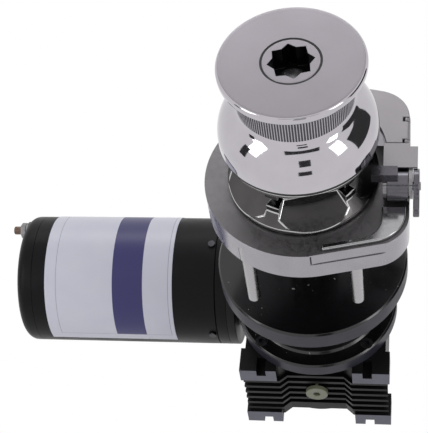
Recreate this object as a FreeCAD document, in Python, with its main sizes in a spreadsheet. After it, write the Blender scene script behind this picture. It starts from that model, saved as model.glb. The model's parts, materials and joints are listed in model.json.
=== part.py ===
# Deck capstan: a vertical anchor windlass with a warping drum over a chain gypsy.
# The origin is on the capstan axis at the deck face of the base plate.
# Z points up the capstan, X points away from the motor, Y points away from the feet.
# All sizes are in millimetres.
import FreeCAD, Part
import math
import os
import Sketcher

DRIVING_SIZES = {
    # deck base plate
    "base_radius": 60.0,
    "base_height": 21.0,
    "base_right": 63.5,
    "base_edge_angle": 12.6,
    "base_corner_radius": 22.0,
    "base_recess_radius": 32.0,
    "base_recess_depth": 7.0,
    "base_edge_round": 1.2,
    "facet_height": 9.0,
    "facet_depth": 0.6,
    "facet_start": 7.0,
    "hawse_x": 46.0,
    "hawse_y": 35.0,
    "hawse_radius": 12.0,
    # chain guide pad
    "guide_height": 3.2,
    "guide_inset": 2.0,
    "guide_back_y": 25.0,
    "guide_inner_x": 47.5,
    "guide_rail_width": 3.4,
    # hawse box, its cover and the hinge
    "box_wall": 3.5,
    "cover_top": 40.0,
    "cover_thickness": 4.0,
    "cover_inner_radius": 50.5,
    "cover_pin_radius": 1.0,
    "ear_length": 2.6,
    # finger bracket, finger, pin and lever
    "bracket_front_y": -8.7,
    "bracket_back_y": 9.6,
    "bracket_inner_x": 48.2,
    "bracket_nose": 4.7,
    "finger_axis_y": -15.5,
    "finger_axis_z": 31.0,
    "finger_radius": 9.2,
    "finger_pin_radius": 2.5,
    "cheek_thickness": 2.4,
    "lever_thickness": 3.6,
    "lever_hub_radius": 10.2,
    "lever_reach": 15.0,
    # studs
    "stud_radius": 4.0,
    "stud_seat_radius": 5.0,
    "stud_x": 32.0,
    "stud_y": 45.0,
    "stud_below": 45.0,
    "stud_depth": 13.0,
    # running clearances
    "running_gap": 0.3,
    "shaft_fit": 0.05,
    "pocket_clearance": 0.6,
    # shaft line
    "shaft_radius": 10.0,
    "shaft_thread_radius": 8.0,
    "shaft_top": 108.0,
    "shaft_shoulder": 92.0,
    "collar_radius": 14.0,
    "collar_height": 3.0,
    "key_width": 6.0,
    "key_height": 3.5,
    # gypsy
    "gypsy_radius": 45.5,
    "gypsy_height": 38.0,
    "gypsy_waist_radius": 38.0,
    "gypsy_rim": 3.0,
    "gypsy_bore_radius": 13.5,
    "pocket_count": 5.0,
    "pocket_floor": 27.0,
    "pocket_length": 31.5,
    "pocket_width": 26.0,
    "pocket_flare": 40.0,
    "chain_groove_width": 7.8,
    "chain_groove_radius": 19.0,
    "cone_large_radius": 28.0,
    "cone_small_radius": 22.0,
    "cone_length": 12.0,
    # drum
    "drum_top": 121.5,
    "drum_rim_radius": 42.0,
    "drum_rim_height": 4.5,
    "drum_waist_radius": 33.5,
    "drum_waist_top": 112.0,
    "drum_waist_bottom": 92.5,
    "drum_flare": 2.5,
    "drum_flare_angle": 27.5,
    "drum_bell_radius": 46.8,
    # clutch nut
    "nut_radius": 16.4,
    "nut_ring_width": 1.1,
    "nut_height": 28.0,
    "star_radius": 13.3,
    "star_valley": 10.6,
    "star_depth": 15.0,
    # under-deck unit
    "deck_gap": 63.0,
    "tube_radius": 16.0,
    "tube_bore_radius": 13.0,
    "tube_seat": 6.0,
    "disc_radius": 61.4,
    "disc_thickness": 13.8,
    "neck_radius": 43.0,
    "neck_length": 36.7,
    "ring_radius": 53.8,
    "ring_thickness": 10.3,
    # gearbox
    "gearbox_half_width": 49.8,
    "gearbox_height": 69.0,
    "body_half_width": 47.0,
    "foot_y": 52.0,
    "body_front_y": 47.5,
    "panel_front_y": 43.0,
    "panel_half_width": 19.0,
    "lug_width": 24.5,
    "lug_height": 13.0,
    "lug_slot_x": 35.3,
    "lug_slot_radius": 3.1,
    "lug_slot_depth": 6.3,
    "rib_pitch": 7.2,
    "rib_thickness": 2.6,
    "rib_count": 6.0,
    "rib_depth": 3.0,
    "cavity_radius": 37.5,
    "bearing_radius": 21.0,
    "bearing_width": 10.0,
    "plug_radius": 7.5,
    "plug_thickness": 3.0,
    # worm drive
    "gear_module": 2.0,
    "wheel_teeth": 33.0,
    "wheel_width": 14.0,
    "wheel_hub_radius": 15.0,
    "worm_pitch_radius": 10.0,
    "worm_length": 26.0,
    "tooth_clearance": 0.35,
    "worm_bearing_radius": 15.0,
    "worm_bearing_width": 9.0,
    "worm_housing_radius": 30.0,
    # motor
    "motor_radius": 45.5,
    "can_wall": 3.0,
    "motor_far_x": 217.0,
    "end_cap_length": 12.0,
    "motor_near_x": 65.5,
    "bell_length": 8.0,
    "label_far_x": 195.3,
    "label_near_x": 103.2,
    "label_thickness": 0.3,
    "label_start_angle": 199.0,
    "label_sweep": 240.0,
    "rotor_radius": 32.0,
    "rotor_length": 78.0,
    "magnet_thickness": 6.0,
    "motor_shaft_radius": 6.0,
    "commutator_radius": 17.0,
    "commutator_length": 14.0,
    "terminal_y": 28.0,
    "terminal_z": 21.0,
    "terminal_radius": 3.0,
    "terminal_length": 14.0,
}

doc = FreeCAD.newDocument("DeckCapstan")
sheet = doc.addObject("Spreadsheet::Sheet", "Sizes")
for row, (alias, number) in enumerate(DRIVING_SIZES.items(), start=1):
    sheet.set("A%d" % row, alias)
    sheet.set("B%d" % row, str(number))
    sheet.setAlias("B%d" % row, alias)
doc.recompute()

nodes = []


class Size:
    """A length that knows its number and the spreadsheet expression it comes from."""

    def __init__(self, value, text):
        self.value = value
        self.text = text

    def __add__(self, other):
        other = as_size(other)
        return Size(self.value + other.value, "(%s + %s)" % (self.text, other.text))

    def __sub__(self, other):
        other = as_size(other)
        return Size(self.value - other.value, "(%s - %s)" % (self.text, other.text))

    def __mul__(self, other):
        other = as_size(other)
        return Size(self.value * other.value, "(%s * %s)" % (self.text, other.text))

    def __truediv__(self, other):
        other = as_size(other)
        return Size(self.value / other.value, "(%s / %s)" % (self.text, other.text))

    def __neg__(self):
        return Size(-self.value, "(0 - %s)" % self.text)

    def __radd__(self, other):
        return as_size(other) + self

    def __rsub__(self, other):
        return as_size(other) - self

    def __rmul__(self, other):
        return as_size(other) * self


def as_size(value):
    if isinstance(value, Size):
        return value
    return Size(float(value), "%.6f" % value)


def size(alias):
    return Size(float(sheet.get(alias)), "Sizes." + alias)


def cosine(angle):
    angle = as_size(angle)
    return Size(math.cos(math.radians(angle.value)), "cos(%s)" % angle.text)


def sine(angle):
    angle = as_size(angle)
    return Size(math.sin(math.radians(angle.value)), "sin(%s)" % angle.text)


def tangent(angle):
    angle = as_size(angle)
    return Size(math.tan(math.radians(angle.value)), "tan(%s)" % angle.text)


def root(square):
    square = as_size(square)
    return Size(math.sqrt(square.value), "sqrt(%s)" % square.text)


# ---------------------------------------------------------------- drawing helpers

def vector(point):
    return FreeCAD.Vector(as_size(point[0]).value, as_size(point[1]).value, 0)


def new_sketch(body, role, lift=0):
    sketch = body.newObject("Sketcher::SketchObject", "Sketch")
    plane = [feature for feature in body.Origin.OriginFeatures if feature.Role == role][0]
    sketch.AttachmentSupport = (plane, "")
    sketch.MapMode = "FlatFace"
    lift = as_size(lift)
    sketch.AttachmentOffset = FreeCAD.Placement(FreeCAD.Vector(0, 0, lift.value), FreeCAD.Rotation())
    sketch.setExpression("AttachmentOffset.Base.z", lift.text)
    return sketch


def pin_point(sketch, edge, end, point):
    for kind, coordinate, axis in (("DistanceX", point[0], -2), ("DistanceY", point[1], -1)):
        coordinate = as_size(coordinate)
        if abs(coordinate.value) < 1e-9:
            sketch.addConstraint(Sketcher.Constraint("PointOnObject", edge, end, axis))
        else:
            number = sketch.addConstraint(Sketcher.Constraint(kind, edge, end, coordinate.value))
            sketch.setExpression("Constraints[%d]" % number, coordinate.text)


def draw_arc(sketch, start, finish, radius):
    """An arc from start to finish: a positive radius turns left, a negative one turns right."""
    turn = as_size(radius).value
    chord = finish - start
    across = FreeCAD.Vector(-chord.y, chord.x, 0)
    across.normalize()
    rise = math.sqrt(max(turn * turn - chord.Length * chord.Length / 4.0, 0.0))
    centre = (start + finish) * 0.5 + across * math.copysign(rise, turn)
    first, last = (start, finish) if turn > 0 else (finish, start)
    angles = [math.atan2(point.y - centre.y, point.x - centre.x) for point in (first, last)]
    circle = Part.Circle(centre, FreeCAD.Vector(0, 0, 1), abs(turn))
    edge = sketch.addGeometry(Part.ArcOfCircle(circle, angles[0], angles[1]), False)
    number = sketch.addConstraint(Sketcher.Constraint("Radius", edge, abs(turn)))
    text = as_size(radius).text if turn > 0 else (-as_size(radius)).text
    sketch.setExpression("Constraints[%d]" % number, text)
    return (edge, 1, 2) if turn > 0 else (edge, 2, 1)


def draw_outline(sketch, points):
    """A closed outline: each point is (x, y), or (x, y, radius) where an arc leaves it."""
    edges = []
    for index, point in enumerate(points):
        following = points[(index + 1) % len(points)]
        start, finish = vector(point), vector(following)
        if len(point) == 3:
            edges.append(draw_arc(sketch, start, finish, point[2]))
        else:
            edges.append((sketch.addGeometry(Part.LineSegment(start, finish), False), 1, 2))
    for index, (edge, first, last) in enumerate(edges):
        before = edges[index - 1]
        sketch.addConstraint(Sketcher.Constraint("Coincident", before[0], before[2], edge, first))
        pin_point(sketch, edge, first, points[index])
    return sketch


def draw_circles(sketch, circles):
    for x, y, radius in circles:
        radius = as_size(radius)
        circle = Part.Circle(vector((x, y)), FreeCAD.Vector(0, 0, 1), radius.value)
        edge = sketch.addGeometry(circle, False)
        number = sketch.addConstraint(Sketcher.Constraint("Radius", edge, radius.value))
        sketch.setExpression("Constraints[%d]" % number, radius.text)
        pin_point(sketch, edge, 3, (x, y))
    return sketch


def rectangle(left, bottom, right, top):
    return [(left, bottom), (right, bottom), (right, top), (left, top)]


def new_body(label):
    body = doc.addObject("PartDesign::Body", label)
    body.Label = label
    return body


def node(piece, label):
    piece.Label = label
    nodes.append(piece)
    return piece


def extrude(body, kind, sketch, length):
    feature = body.newObject("PartDesign::" + kind, kind)
    feature.Profile = sketch
    length = as_size(length)
    feature.Length = length.value
    feature.setExpression("Length", length.text)
    feature.Reversed = kind == "Pocket"
    return feature


def pad(body, role, lift, length, points):
    return extrude(body, "Pad", draw_outline(new_sketch(body, role, lift), points), length)


def pocket(body, role, lift, length, points):
    return extrude(body, "Pocket", draw_outline(new_sketch(body, role, lift), points), length)


def drill(body, role, lift, length, circles):
    return extrude(body, "Pocket", draw_circles(new_sketch(body, role, lift), circles), length)


def disc(body, role, lift, length, circles):
    return extrude(body, "Pad", draw_circles(new_sketch(body, role, lift), circles), length)


def revolve(body, kind, points):
    feature = body.newObject("PartDesign::" + kind, kind)
    feature.Profile = draw_outline(new_sketch(body, "XZ_Plane"), points)
    feature.ReferenceAxis = (feature.Profile[0], ["V_Axis"])
    feature.Angle = 360
    return feature


def polar(body, feature, count):
    pattern = body.newObject("PartDesign::PolarPattern", "PolarPattern")
    pattern.Originals = [feature]
    axis = [item for item in body.Origin.OriginFeatures if item.Role == "Z_Axis"][0]
    pattern.Axis = (axis, [""])
    pattern.Angle = 360
    count = as_size(count)
    pattern.Occurrences = int(round(count.value))
    pattern.setExpression("Occurrences", count.text)
    body.Tip = pattern
    return pattern


def turned(label, points):
    """A body turned about its own Z axis from (radius, height) points."""
    body = new_body(label)
    revolve(body, "Revolution", points)
    return body


def tube(label, inner, outer, bottom, top):
    return turned(label, rectangle(inner, bottom, outer, top))


def place(piece, x=0, y=0, z=0, axis=(0, 0, 1), angle=0):
    base = [as_size(value) for value in (x, y, z)]
    rotation = FreeCAD.Rotation(FreeCAD.Vector(*axis), angle)
    piece.Placement = FreeCAD.Placement(FreeCAD.Vector(*[value.value for value in base]), rotation)
    for name, value in zip("xyz", base):
        piece.setExpression("Placement.Base." + name, value.text)
    return piece


def along_x(piece):
    """Lays a turned piece on the worm axis, its own Z along X."""
    return place(piece, 0, worm_y, gear_z, (0, 1, 0), 90)


def group(label, members):
    bundle = doc.addObject("Part::Compound", label)
    bundle.Links = members
    return node(bundle, label)


# ---------------------------------------------------------------- levels shared by the pieces

gypsy_bottom = size("base_height") + 1.2
gypsy_top = gypsy_bottom + size("gypsy_height")
gypsy_middle = gypsy_bottom + size("gypsy_height") / 2
drum_bottom = gypsy_top + 2.0
box_top = size("cover_top") - size("cover_thickness")
guide_top = size("base_height") + size("guide_height")
disc_top = -size("deck_gap")
disc_bottom = disc_top - size("disc_thickness")
ring_top = disc_bottom - size("neck_length")
gearbox_top = ring_top - size("ring_thickness")
gearbox_bottom = gearbox_top - size("gearbox_height")
gear_z = gearbox_top - size("gearbox_height") / 2
worm_y = size("gear_module") * size("wheel_teeth") / 2 + size("worm_pitch_radius")
collar_bottom = size("base_height") - size("base_recess_depth") + 1.0
cone_seat = collar_bottom + size("collar_height")
flange_bolt_radius = size("neck_radius") + 6.2
wall_top = box_top - 0.8
hinge_x = size("base_right") - size("cover_thickness") / 2
hinge_z = box_top + size("cover_thickness") / 2
hinge_front = size("bracket_back_y") + size("running_gap")


# ---------------------------------------------------------------- deck base

def base_outline(inset=0.0):
    """The D shape: a round end, two straight flanks and two large corners on the right."""
    inset = as_size(inset)
    angle = size("base_edge_angle")
    radius = size("base_radius") - inset
    right = size("base_right") - inset
    corner = size("base_corner_radius") - inset
    leave_x = radius * sine(angle)
    leave_y = radius * cosine(angle)
    meet_y = leave_y - (right - leave_x) * tangent(angle)
    trim = corner * tangent((90 - angle) / 2)
    front = [
        (leave_x, -leave_y),
        (right - trim * cosine(angle), -(meet_y + trim * sine(angle)), corner),
        (right, -(meet_y - trim)),
    ]
    back = [
        (right, meet_y - trim, corner),
        (right - trim * cosine(angle), meet_y + trim * sine(angle)),
        (leave_x, leave_y, radius),
        (-radius, 0, radius),
    ]
    return front + back


def deck_base():
    body = new_body("base_plate")
    height = size("base_height")
    pad(body, "XY_Plane", 0, height, base_outline())
    bore = size("tube_bore_radius")
    seat = size("tube_radius") + size("shaft_fit")
    floor = height - size("base_recess_depth")
    revolve(body, "Groove", [
        (0, -1), (seat, -1), (seat, size("tube_seat")), (bore + 2, size("tube_seat")),
        (bore + 2, floor), (size("base_recess_radius"), floor),
        (size("base_recess_radius"), height + 1), (0, height + 1)])
    drill(body, "XY_Plane", -1, height + 2, [(size("hawse_x"), size("hawse_y"), size("hawse_radius"))])
    studs = [(size("stud_x") * i, size("stud_y") * j, size("stud_seat_radius") + size("shaft_fit"))
             for i in (-1, 1) for j in (-1, 1)]
    drill(body, "XY_Plane", -1, size("stud_depth") + 1, studs)
    front_facet(body)
    return node(body, "base_plate")


def front_facet(body):
    """The shallow machined facet along the straight front flank, above the polished foot."""
    angle = size("base_edge_angle")
    depth = size("facet_depth")
    start = size("facet_start")
    reach = size("base_radius")
    level = size("base_height") - size("facet_height")
    near = reach - depth
    slope = tangent(angle)
    end = size("base_right") - size("base_corner_radius") * 0.6
    leave_x = reach * sine(angle)
    end_y = near * cosine(angle) - (end - leave_x) * slope
    pocket(body, "XY_Plane", level, size("facet_height") + 1, [
        (start, -near), (start, -(reach + 2)), (end, -(end_y + 6)), (end, -end_y),
        (leave_x, -near * cosine(angle))])


hinge_back = base_outline(0.5)[3][1] - size("running_gap")


def chain_guide():
    """The raised pad: a thin rail along the front flank that widens into a ledge on the right."""
    body = new_body("chain_guide")
    inset = size("guide_inset")
    outer = base_outline(inset)
    angle = size("base_edge_angle")
    rail = size("guide_rail_width")
    bend = 14.0
    tip_x = outer[0][0] + 1.5
    tip_y = outer[0][1] + 1.5 * tangent(angle)
    inner_x = size("guide_inner_x")
    inner_y = tip_y + rail + (inner_x - tip_x) * tangent(angle)
    trim = bend * tangent((90 - angle) / 2)
    pad(body, "XY_Plane", size("base_height"), size("guide_height"), [
        (tip_x, tip_y), outer[1], outer[2],
        (outer[2][0], -size("guide_back_y")), (inner_x, -size("guide_back_y")),
        (inner_x, inner_y + trim, -bend),
        (inner_x - trim * cosine(angle), inner_y - trim * sine(angle)),
        (tip_x, tip_y + rail)])
    return node(body, "chain_guide")


def hawse_box():
    """The wall round the back corner, with two ears for the hinge of the cover."""
    body = new_body("hawse_box")
    wall = size("box_wall")
    outer = base_outline()
    inner = base_outline(wall)
    run = 22.0
    end_x = outer[4][0] - run
    end_y = outer[4][1] + run * tangent(size("base_edge_angle"))
    pad(body, "XY_Plane", size("base_height"), wall_top - size("base_height"), [
        (size("base_right"), hinge_front), outer[3], outer[4],
        (end_x, end_y), (end_x, end_y - wall / cosine(size("base_edge_angle"))),
        (inner[4][0], inner[4][1], -(size("base_corner_radius") - wall)),
        (inner[3][0], inner[3][1]), (inner[3][0], hinge_front)])
    ear = size("ear_length")
    barrel = size("cover_thickness") / 2
    for low in (hinge_front, hinge_back - ear):
        pad(body, "XY_Plane", wall_top - 1, hinge_z - wall_top + 1,
            rectangle(hinge_x - barrel, low, hinge_x + barrel, low + ear))
        disc(body, "XZ_Plane", -low - ear, ear, [(hinge_x, hinge_z, barrel)])
    pin = size("cover_pin_radius") + size("shaft_fit")
    drill(body, "XZ_Plane", -hinge_back - 1, hinge_back - hinge_front + 2, [(hinge_x, hinge_z, pin)])
    return node(body, "hawse_box")


def hawse_cover():
    """The lid over the chain pipe, rolled into a hinge barrel along its right edge."""
    body = new_body("hawse_cover")
    gap = size("running_gap")
    outer = base_outline(0.5)
    reach = size("cover_inner_radius")
    left = root(reach * reach - hinge_front * hinge_front)
    end_x = outer[4][0] - 14.0
    end_y = outer[4][1] + 14.0 * tangent(size("base_edge_angle"))
    meet = root(reach * reach - end_x * end_x)
    low = box_top + 0.05
    barrel = size("cover_thickness") / 2
    clear_x = hinge_x - barrel - gap
    first = hinge_front + size("ear_length") + gap
    last = hinge_back - size("ear_length") - gap
    pad(body, "XY_Plane", low, size("cover_top") - low, [
        (left, hinge_front), (clear_x, hinge_front), (clear_x, first), (hinge_x, first), (hinge_x, last),
        (clear_x, last), (clear_x, outer[3][1]), outer[3], outer[4], (end_x, end_y), (end_x, meet, -reach)])
    disc(body, "XZ_Plane", -last, last - first, [(hinge_x, hinge_z, barrel)])
    pin = size("cover_pin_radius") + size("shaft_fit")
    drill(body, "XZ_Plane", -last - 1, last - first + 2, [(hinge_x, hinge_z, pin)])
    return node(body, "hawse_cover")


def cover_hinge_pin():
    body = turned("cover_hinge_pin", rectangle(0, 0, size("cover_pin_radius"), hinge_back - hinge_front))
    place(body, hinge_x, hinge_back, hinge_z, (1, 0, 0), 90)
    return node(body, "cover_hinge_pin")


def chain_stripper():
    """The fixed finger that lifts the chain out of the wheel's middle groove."""
    body = new_body("chain_stripper")
    half = size("chain_groove_width") / 2 - size("pocket_clearance") - 0.8
    tip = size("chain_groove_radius") + 3.0
    foot = size("gypsy_radius") + 2.5
    out = size("base_radius") - 2.0
    pad(body, "XY_Plane", gypsy_middle - half, half * 2, [
        (tip, -2.0), (foot, -4.5), (out, -4.5), (out, 4.5), (foot, 4.5), (tip, 2.0)])
    post = gypsy_middle - half - size("base_height")
    pad(body, "XY_Plane", size("base_height"), post, rectangle(foot, -4.5, out, 4.5))
    place(body, 0, 0, 0, (0, 0, 1), 73)
    return node(body, "chain_stripper")


# ---------------------------------------------------------------- finger bracket and finger

def finger_bracket():
    """The bridge beside the wheel, with a nose and two cheeks for the finger pin."""
    body = new_body("finger_bracket")
    front = size("bracket_front_y")
    back = size("bracket_back_y")
    left = size("bracket_inner_x")
    right = size("base_right")
    nose = right + size("bracket_nose")
    axis_y = size("finger_axis_y")
    axis_z = size("finger_axis_z")
    cheek = size("finger_radius") - 1.5
    plate = size("cheek_thickness")
    height = size("cover_top") - size("base_height")
    pad(body, "XY_Plane", size("base_height"), height, rectangle(left, front, right, back))
    pad(body, "XY_Plane", size("cover_top") - 7.0, 7.0, rectangle(right - 1.0, front, nose, back - 2.5))
    room = size("finger_radius") + 0.5
    drill(body, "YZ_Plane", left + plate, right - left - plate, [(axis_y, axis_z, room)])
    hub_room = size("lever_hub_radius") + 0.5
    drill(body, "YZ_Plane", right + plate - 0.4, size("bracket_nose"), [(axis_y, axis_z, hub_room)])
    for start in (left, right - 0.4):
        pad(body, "YZ_Plane", start, plate, [
            (front + 1.0, axis_z - cheek), (front + 1.0, axis_z + cheek),
            (axis_y, axis_z + cheek, cheek), (axis_y - cheek, axis_z, cheek), (axis_y, axis_z - cheek)])
    bore = size("finger_pin_radius") + size("shaft_fit")
    drill(body, "YZ_Plane", left - 1, nose - left + 2, [(axis_y, axis_z, bore)])
    return node(body, "finger_bracket")


def finger_pin():
    start = size("bracket_inner_x")
    end = size("base_right") + 3.0 + size("lever_thickness")
    body = turned("finger_pin", rectangle(0, start, size("finger_pin_radius"), end))
    place(body, 0, size("finger_axis_y"), size("finger_axis_z"), (0, 1, 0), 90)
    return node(body, "finger_pin")


def pressure_finger():
    """A polished barrel on the pin with an arm that reaches over the left cheek to the chain."""
    body = new_body("pressure_finger")
    axis_y = size("finger_axis_y")
    axis_z = size("finger_axis_z")
    start = size("bracket_inner_x") + size("cheek_thickness") + size("running_gap")
    end = size("base_right") - 0.4 - size("running_gap")
    disc(body, "YZ_Plane", start, end - start, [(axis_y, axis_z, size("finger_radius"))])
    arm_low = axis_z + 8.0
    arm_high = arm_low + 6.5
    pad(body, "YZ_Plane", start, 6.0, rectangle(axis_y - 3.5, axis_z, axis_y + 3.5, arm_high))
    tip = size("bracket_inner_x") - 6.5
    pad(body, "YZ_Plane", tip, start - tip + 1.0, rectangle(axis_y - 3.5, arm_low, axis_y + 3.5, arm_high))
    bore = size("finger_pin_radius") + size("shaft_fit")
    drill(body, "YZ_Plane", start - 1, end - start + 2, [(axis_y, axis_z, bore)])
    return node(body, "pressure_finger")


def release_lever():
    """The hand lever on the outer end of the finger pin."""
    body = new_body("release_lever")
    axis_y = size("finger_axis_y")
    axis_z = size("finger_axis_z")
    thick = size("lever_thickness")
    start = size("base_right") + 2.0 + size("running_gap")
    far_y = axis_y - size("lever_reach") * cosine(17)
    far_z = axis_z - size("lever_reach") * sine(17)
    disc(body, "YZ_Plane", start, thick, [(axis_y, axis_z, size("lever_hub_radius"))])
    pad(body, "YZ_Plane", start, thick, [
        (far_y, far_z + 4.0, 4.0), (far_y - 4.0, far_z, 4.0), (far_y, far_z - 4.0),
        (axis_y, axis_z - 7.0), (axis_y, axis_z + 5.0)])
    bore = size("finger_pin_radius") + size("shaft_fit")
    drill(body, "YZ_Plane", start - 1, thick + 2, [(axis_y, axis_z, bore)])
    return node(body, "release_lever")


# ---------------------------------------------------------------- fasteners into the deck

def deck_studs():
    """Studs with a thicker seat inside the base."""
    radius = size("stud_radius")
    seat = size("stud_seat_radius")
    studs = []
    for i in (-1, 1):
        for j in (-1, 1):
            stud = turned("stud", [
                (0, -size("stud_below")), (radius - 1.2, -size("stud_below")),
                (radius, 1.2 - size("stud_below")), (radius, 0), (seat, 0), (seat, size("stud_depth")),
                (0, size("stud_depth"))])
            studs.append(place(stud, size("stud_x") * i, size("stud_y") * j, 0))
    return group("deck_studs", studs)


# ---------------------------------------------------------------- shaft line above the deck

def main_shaft():
    """One stepped shaft from the worm wheel up to the thread of the clutch nut."""
    radius = size("shaft_radius")
    collar = size("collar_radius")
    thread = size("shaft_thread_radius")
    bottom = gearbox_bottom + 6.5
    top = size("shaft_top")
    shoulder = size("shaft_shoulder")
    body = turned("main_shaft", [
        (0, bottom), (radius - 1, bottom), (radius, bottom + 1), (radius, collar_bottom),
        (collar, collar_bottom), (collar, cone_seat), (radius, cone_seat),
        (radius, shoulder), (thread, shoulder), (thread, top - 1.5), (thread - 1.5, top), (0, top)])
    half = size("key_width") / 2
    for low, length in key_seats():
        pocket(body, "XY_Plane", low, length, rectangle(radius - size("key_height"), -half, radius + 1, half))
    return node(body, "main_shaft")


def key_seats():
    """Foot and length of the key of the wheel, of the lower cone and of the drum."""
    return [(gear_z - 14.0, 28.0), (cone_seat + 3.0, 10.0), (drum_bottom + 4.0, 20.0)]


def keys():
    half = size("key_width") / 2
    inner = size("shaft_radius") - size("key_height")
    for label, (low, length) in zip(("wheel_key", "cone_key", "drum_key"), key_seats()):
        key = new_body(label)
        pad(key, "XY_Plane", low, length, rectangle(inner, -half, size("shaft_radius") + 1.8, half))
        node(key, label)


def keyway(body, bottom, length):
    half = size("key_width") / 2 + size("shaft_fit")
    inner = size("shaft_radius") - 3.0
    pocket(body, "XY_Plane", bottom, length, rectangle(inner, -half, size("shaft_radius") + 2.0, half))


def clutch_cone_lower():
    """The keyed cone under the chain wheel."""
    bore = size("shaft_radius") + size("shaft_fit")
    large = size("cone_large_radius") - size("running_gap")
    small = size("cone_small_radius") - size("running_gap")
    top = gypsy_bottom + size("cone_length")
    body = turned("clutch_cone_lower", [
        (bore, cone_seat), (large, cone_seat), (large, gypsy_bottom), (small, top), (bore, top)])
    keyway(body, cone_seat - 1, top - cone_seat + 2)
    return node(body, "clutch_cone_lower")


def gypsy():
    """The five-pocket chain wheel with its middle groove and a clutch seat at each end."""
    body = new_body("gypsy")
    radius = size("gypsy_radius")
    waist = size("gypsy_waist_radius")
    rim = size("gypsy_rim")
    bore = size("gypsy_bore_radius")
    large = size("cone_large_radius")
    small = size("cone_small_radius")
    slope = (size("gypsy_height") - size("pocket_width")) / 2
    groove = size("chain_groove_width") / 2
    deep = size("chain_groove_radius")
    low_cone = gypsy_bottom + size("cone_length")
    high_cone = gypsy_top - size("cone_length")
    revolve(body, "Revolution", [
        (large, gypsy_bottom), (radius - 0.8, gypsy_bottom), (radius, gypsy_bottom + 0.8),
        (radius, gypsy_bottom + rim), (waist, gypsy_bottom + slope + 3.0), (waist, gypsy_middle - groove),
        (deep + groove, gypsy_middle - groove), (deep, gypsy_middle),
        (deep + groove, gypsy_middle + groove), (waist, gypsy_middle + groove),
        (waist, gypsy_top - slope - 3.0), (radius, gypsy_top - rim), (radius, gypsy_top - 0.8),
        (radius - 0.8, gypsy_top), (large, gypsy_top), (small, high_cone), (bore, high_cone),
        (bore, low_cone), (small, low_cone)])
    half = size("pocket_length") / 2
    floor = size("pocket_floor")
    out = radius + 2.0
    spread = half + (out - floor) * tangent(size("pocket_flare"))
    cut = pocket(body, "XY_Plane", gypsy_middle - size("pocket_width") / 2, size("pocket_width"), [
        (-spread, -out), (spread, -out), (half, -floor), (-half, -floor)])
    polar(body, cut, size("pocket_count"))
    place(body, 0, 0, 0, (0, 0, 1), 14)
    return node(body, "gypsy")


def clutch_spring():
    """Two pairs of disc springs that lift the drum when the clutch is let go."""
    inner = size("shaft_radius") + 0.4
    outer = size("gypsy_bore_radius") - 0.5
    low = gypsy_bottom + size("cone_length")
    pitch = (size("gypsy_height") - 2 * size("cone_length")) / 4
    thick = 1.0
    discs = []
    for turn in range(4):
        foot = low + pitch * turn
        if turn % 2 == 0:
            points = [(inner, foot), (outer, foot + pitch - thick), (outer, foot + pitch), (inner, foot + thick)]
        else:
            points = [(inner, foot + pitch - thick), (outer, foot), (outer, foot + thick), (inner, foot + pitch)]
        discs.append(turned("disc_spring", points))
    return group("clutch_spring", discs)


def clutch_cone_upper():
    """The keyed cone between the drum and the chain wheel."""
    bore = size("shaft_radius") + size("shaft_fit")
    large = size("cone_large_radius") - size("running_gap")
    small = size("cone_small_radius") - size("running_gap")
    low = gypsy_top - size("cone_length")
    top = drum_bottom + 3.0
    body = turned("clutch_cone_upper", [
        (bore, low), (small, low), (large, gypsy_top), (large, top), (bore, top)])
    keyway(body, low - 1, top - low + 2)
    return node(body, "clutch_cone_upper")


def drum():
    """The warping drum: flat top, thin lip, straight waist and a full round bell."""
    body = new_body("drum")
    top = size("drum_top")
    rim = size("drum_rim_radius")
    waist = size("drum_waist_radius")
    bell = size("drum_bell_radius")
    bore = size("shaft_radius") + size("shaft_fit")
    nut = size("nut_radius") + size("nut_ring_width") + size("shaft_fit")
    lip = top - size("drum_rim_height")
    nut_floor = top - size("nut_height")
    cone_room = size("cone_large_radius") + 0.2
    waist_low = size("drum_waist_bottom")
    waist_high = size("drum_waist_top")
    turn = size("drum_flare_angle")
    flare = size("drum_flare")
    flare_radius = flare / (2 * sine(turn) * sine(turn))
    flare_low = waist_low - flare / tangent(turn)
    swell = bell - waist - flare
    swell_radius = swell / (2 * sine(turn) * sine(turn))
    shoulder = flare_low - swell / tangent(turn)
    fillet = lip - 1.0 - waist_high
    revolve(body, "Revolution", [
        (nut, nut_floor), (bore, nut_floor), (bore, drum_bottom + 3.0), (cone_room, drum_bottom + 3.0),
        (cone_room, drum_bottom), (bell - 0.8, drum_bottom), (bell, drum_bottom + 0.8),
        (bell, shoulder, swell_radius), (waist + flare, flare_low, -flare_radius), (waist, waist_low),
        (waist, waist_high), (waist + fillet, lip - 1.0), (rim - 1.0, lip), (rim, lip + 1.0),
        (rim, top - 1.2), (rim - 1.2, top), (nut, top)])
    keyway(body, drum_bottom + 2.0, nut_floor - drum_bottom - 1.0)
    return node(body, "drum")


def drum_seal_ring():
    outer = size("drum_bell_radius") - 0.4
    return node(tube("drum_seal_ring", outer - 3.6, outer, gypsy_top + 0.4, drum_bottom), "drum_seal_ring")


def star_outline():
    """Eight points and eight valleys, as two squares one turned by 45 degrees."""
    points = []
    for step in range(16):
        reach = size("star_radius") if step % 2 == 0 else size("star_valley")
        points.append((reach * cosine(22.5 * step + 11.0), reach * sine(22.5 * step + 11.0)))
    return points


def clutch_nut():
    """The round nut with the star socket for the handle."""
    top = size("drum_top")
    radius = size("nut_radius")
    low = top - size("nut_height") + 0.05
    thread = size("shaft_thread_radius") + size("shaft_fit")
    body = turned("clutch_nut", [
        (thread, low), (radius, low), (radius, top - 0.4), (radius - 0.4, top), (thread, top)])
    pocket(body, "XY_Plane", top - size("star_depth"), size("star_depth") + 1, star_outline())
    return node(body, "clutch_nut")


def nut_seal_ring():
    top = size("drum_top")
    inner = size("nut_radius")
    ring = tube("nut_seal_ring", inner + 0.03, inner + size("nut_ring_width"), top - 2.0, top - 0.3)
    return node(ring, "nut_seal_ring")


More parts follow.
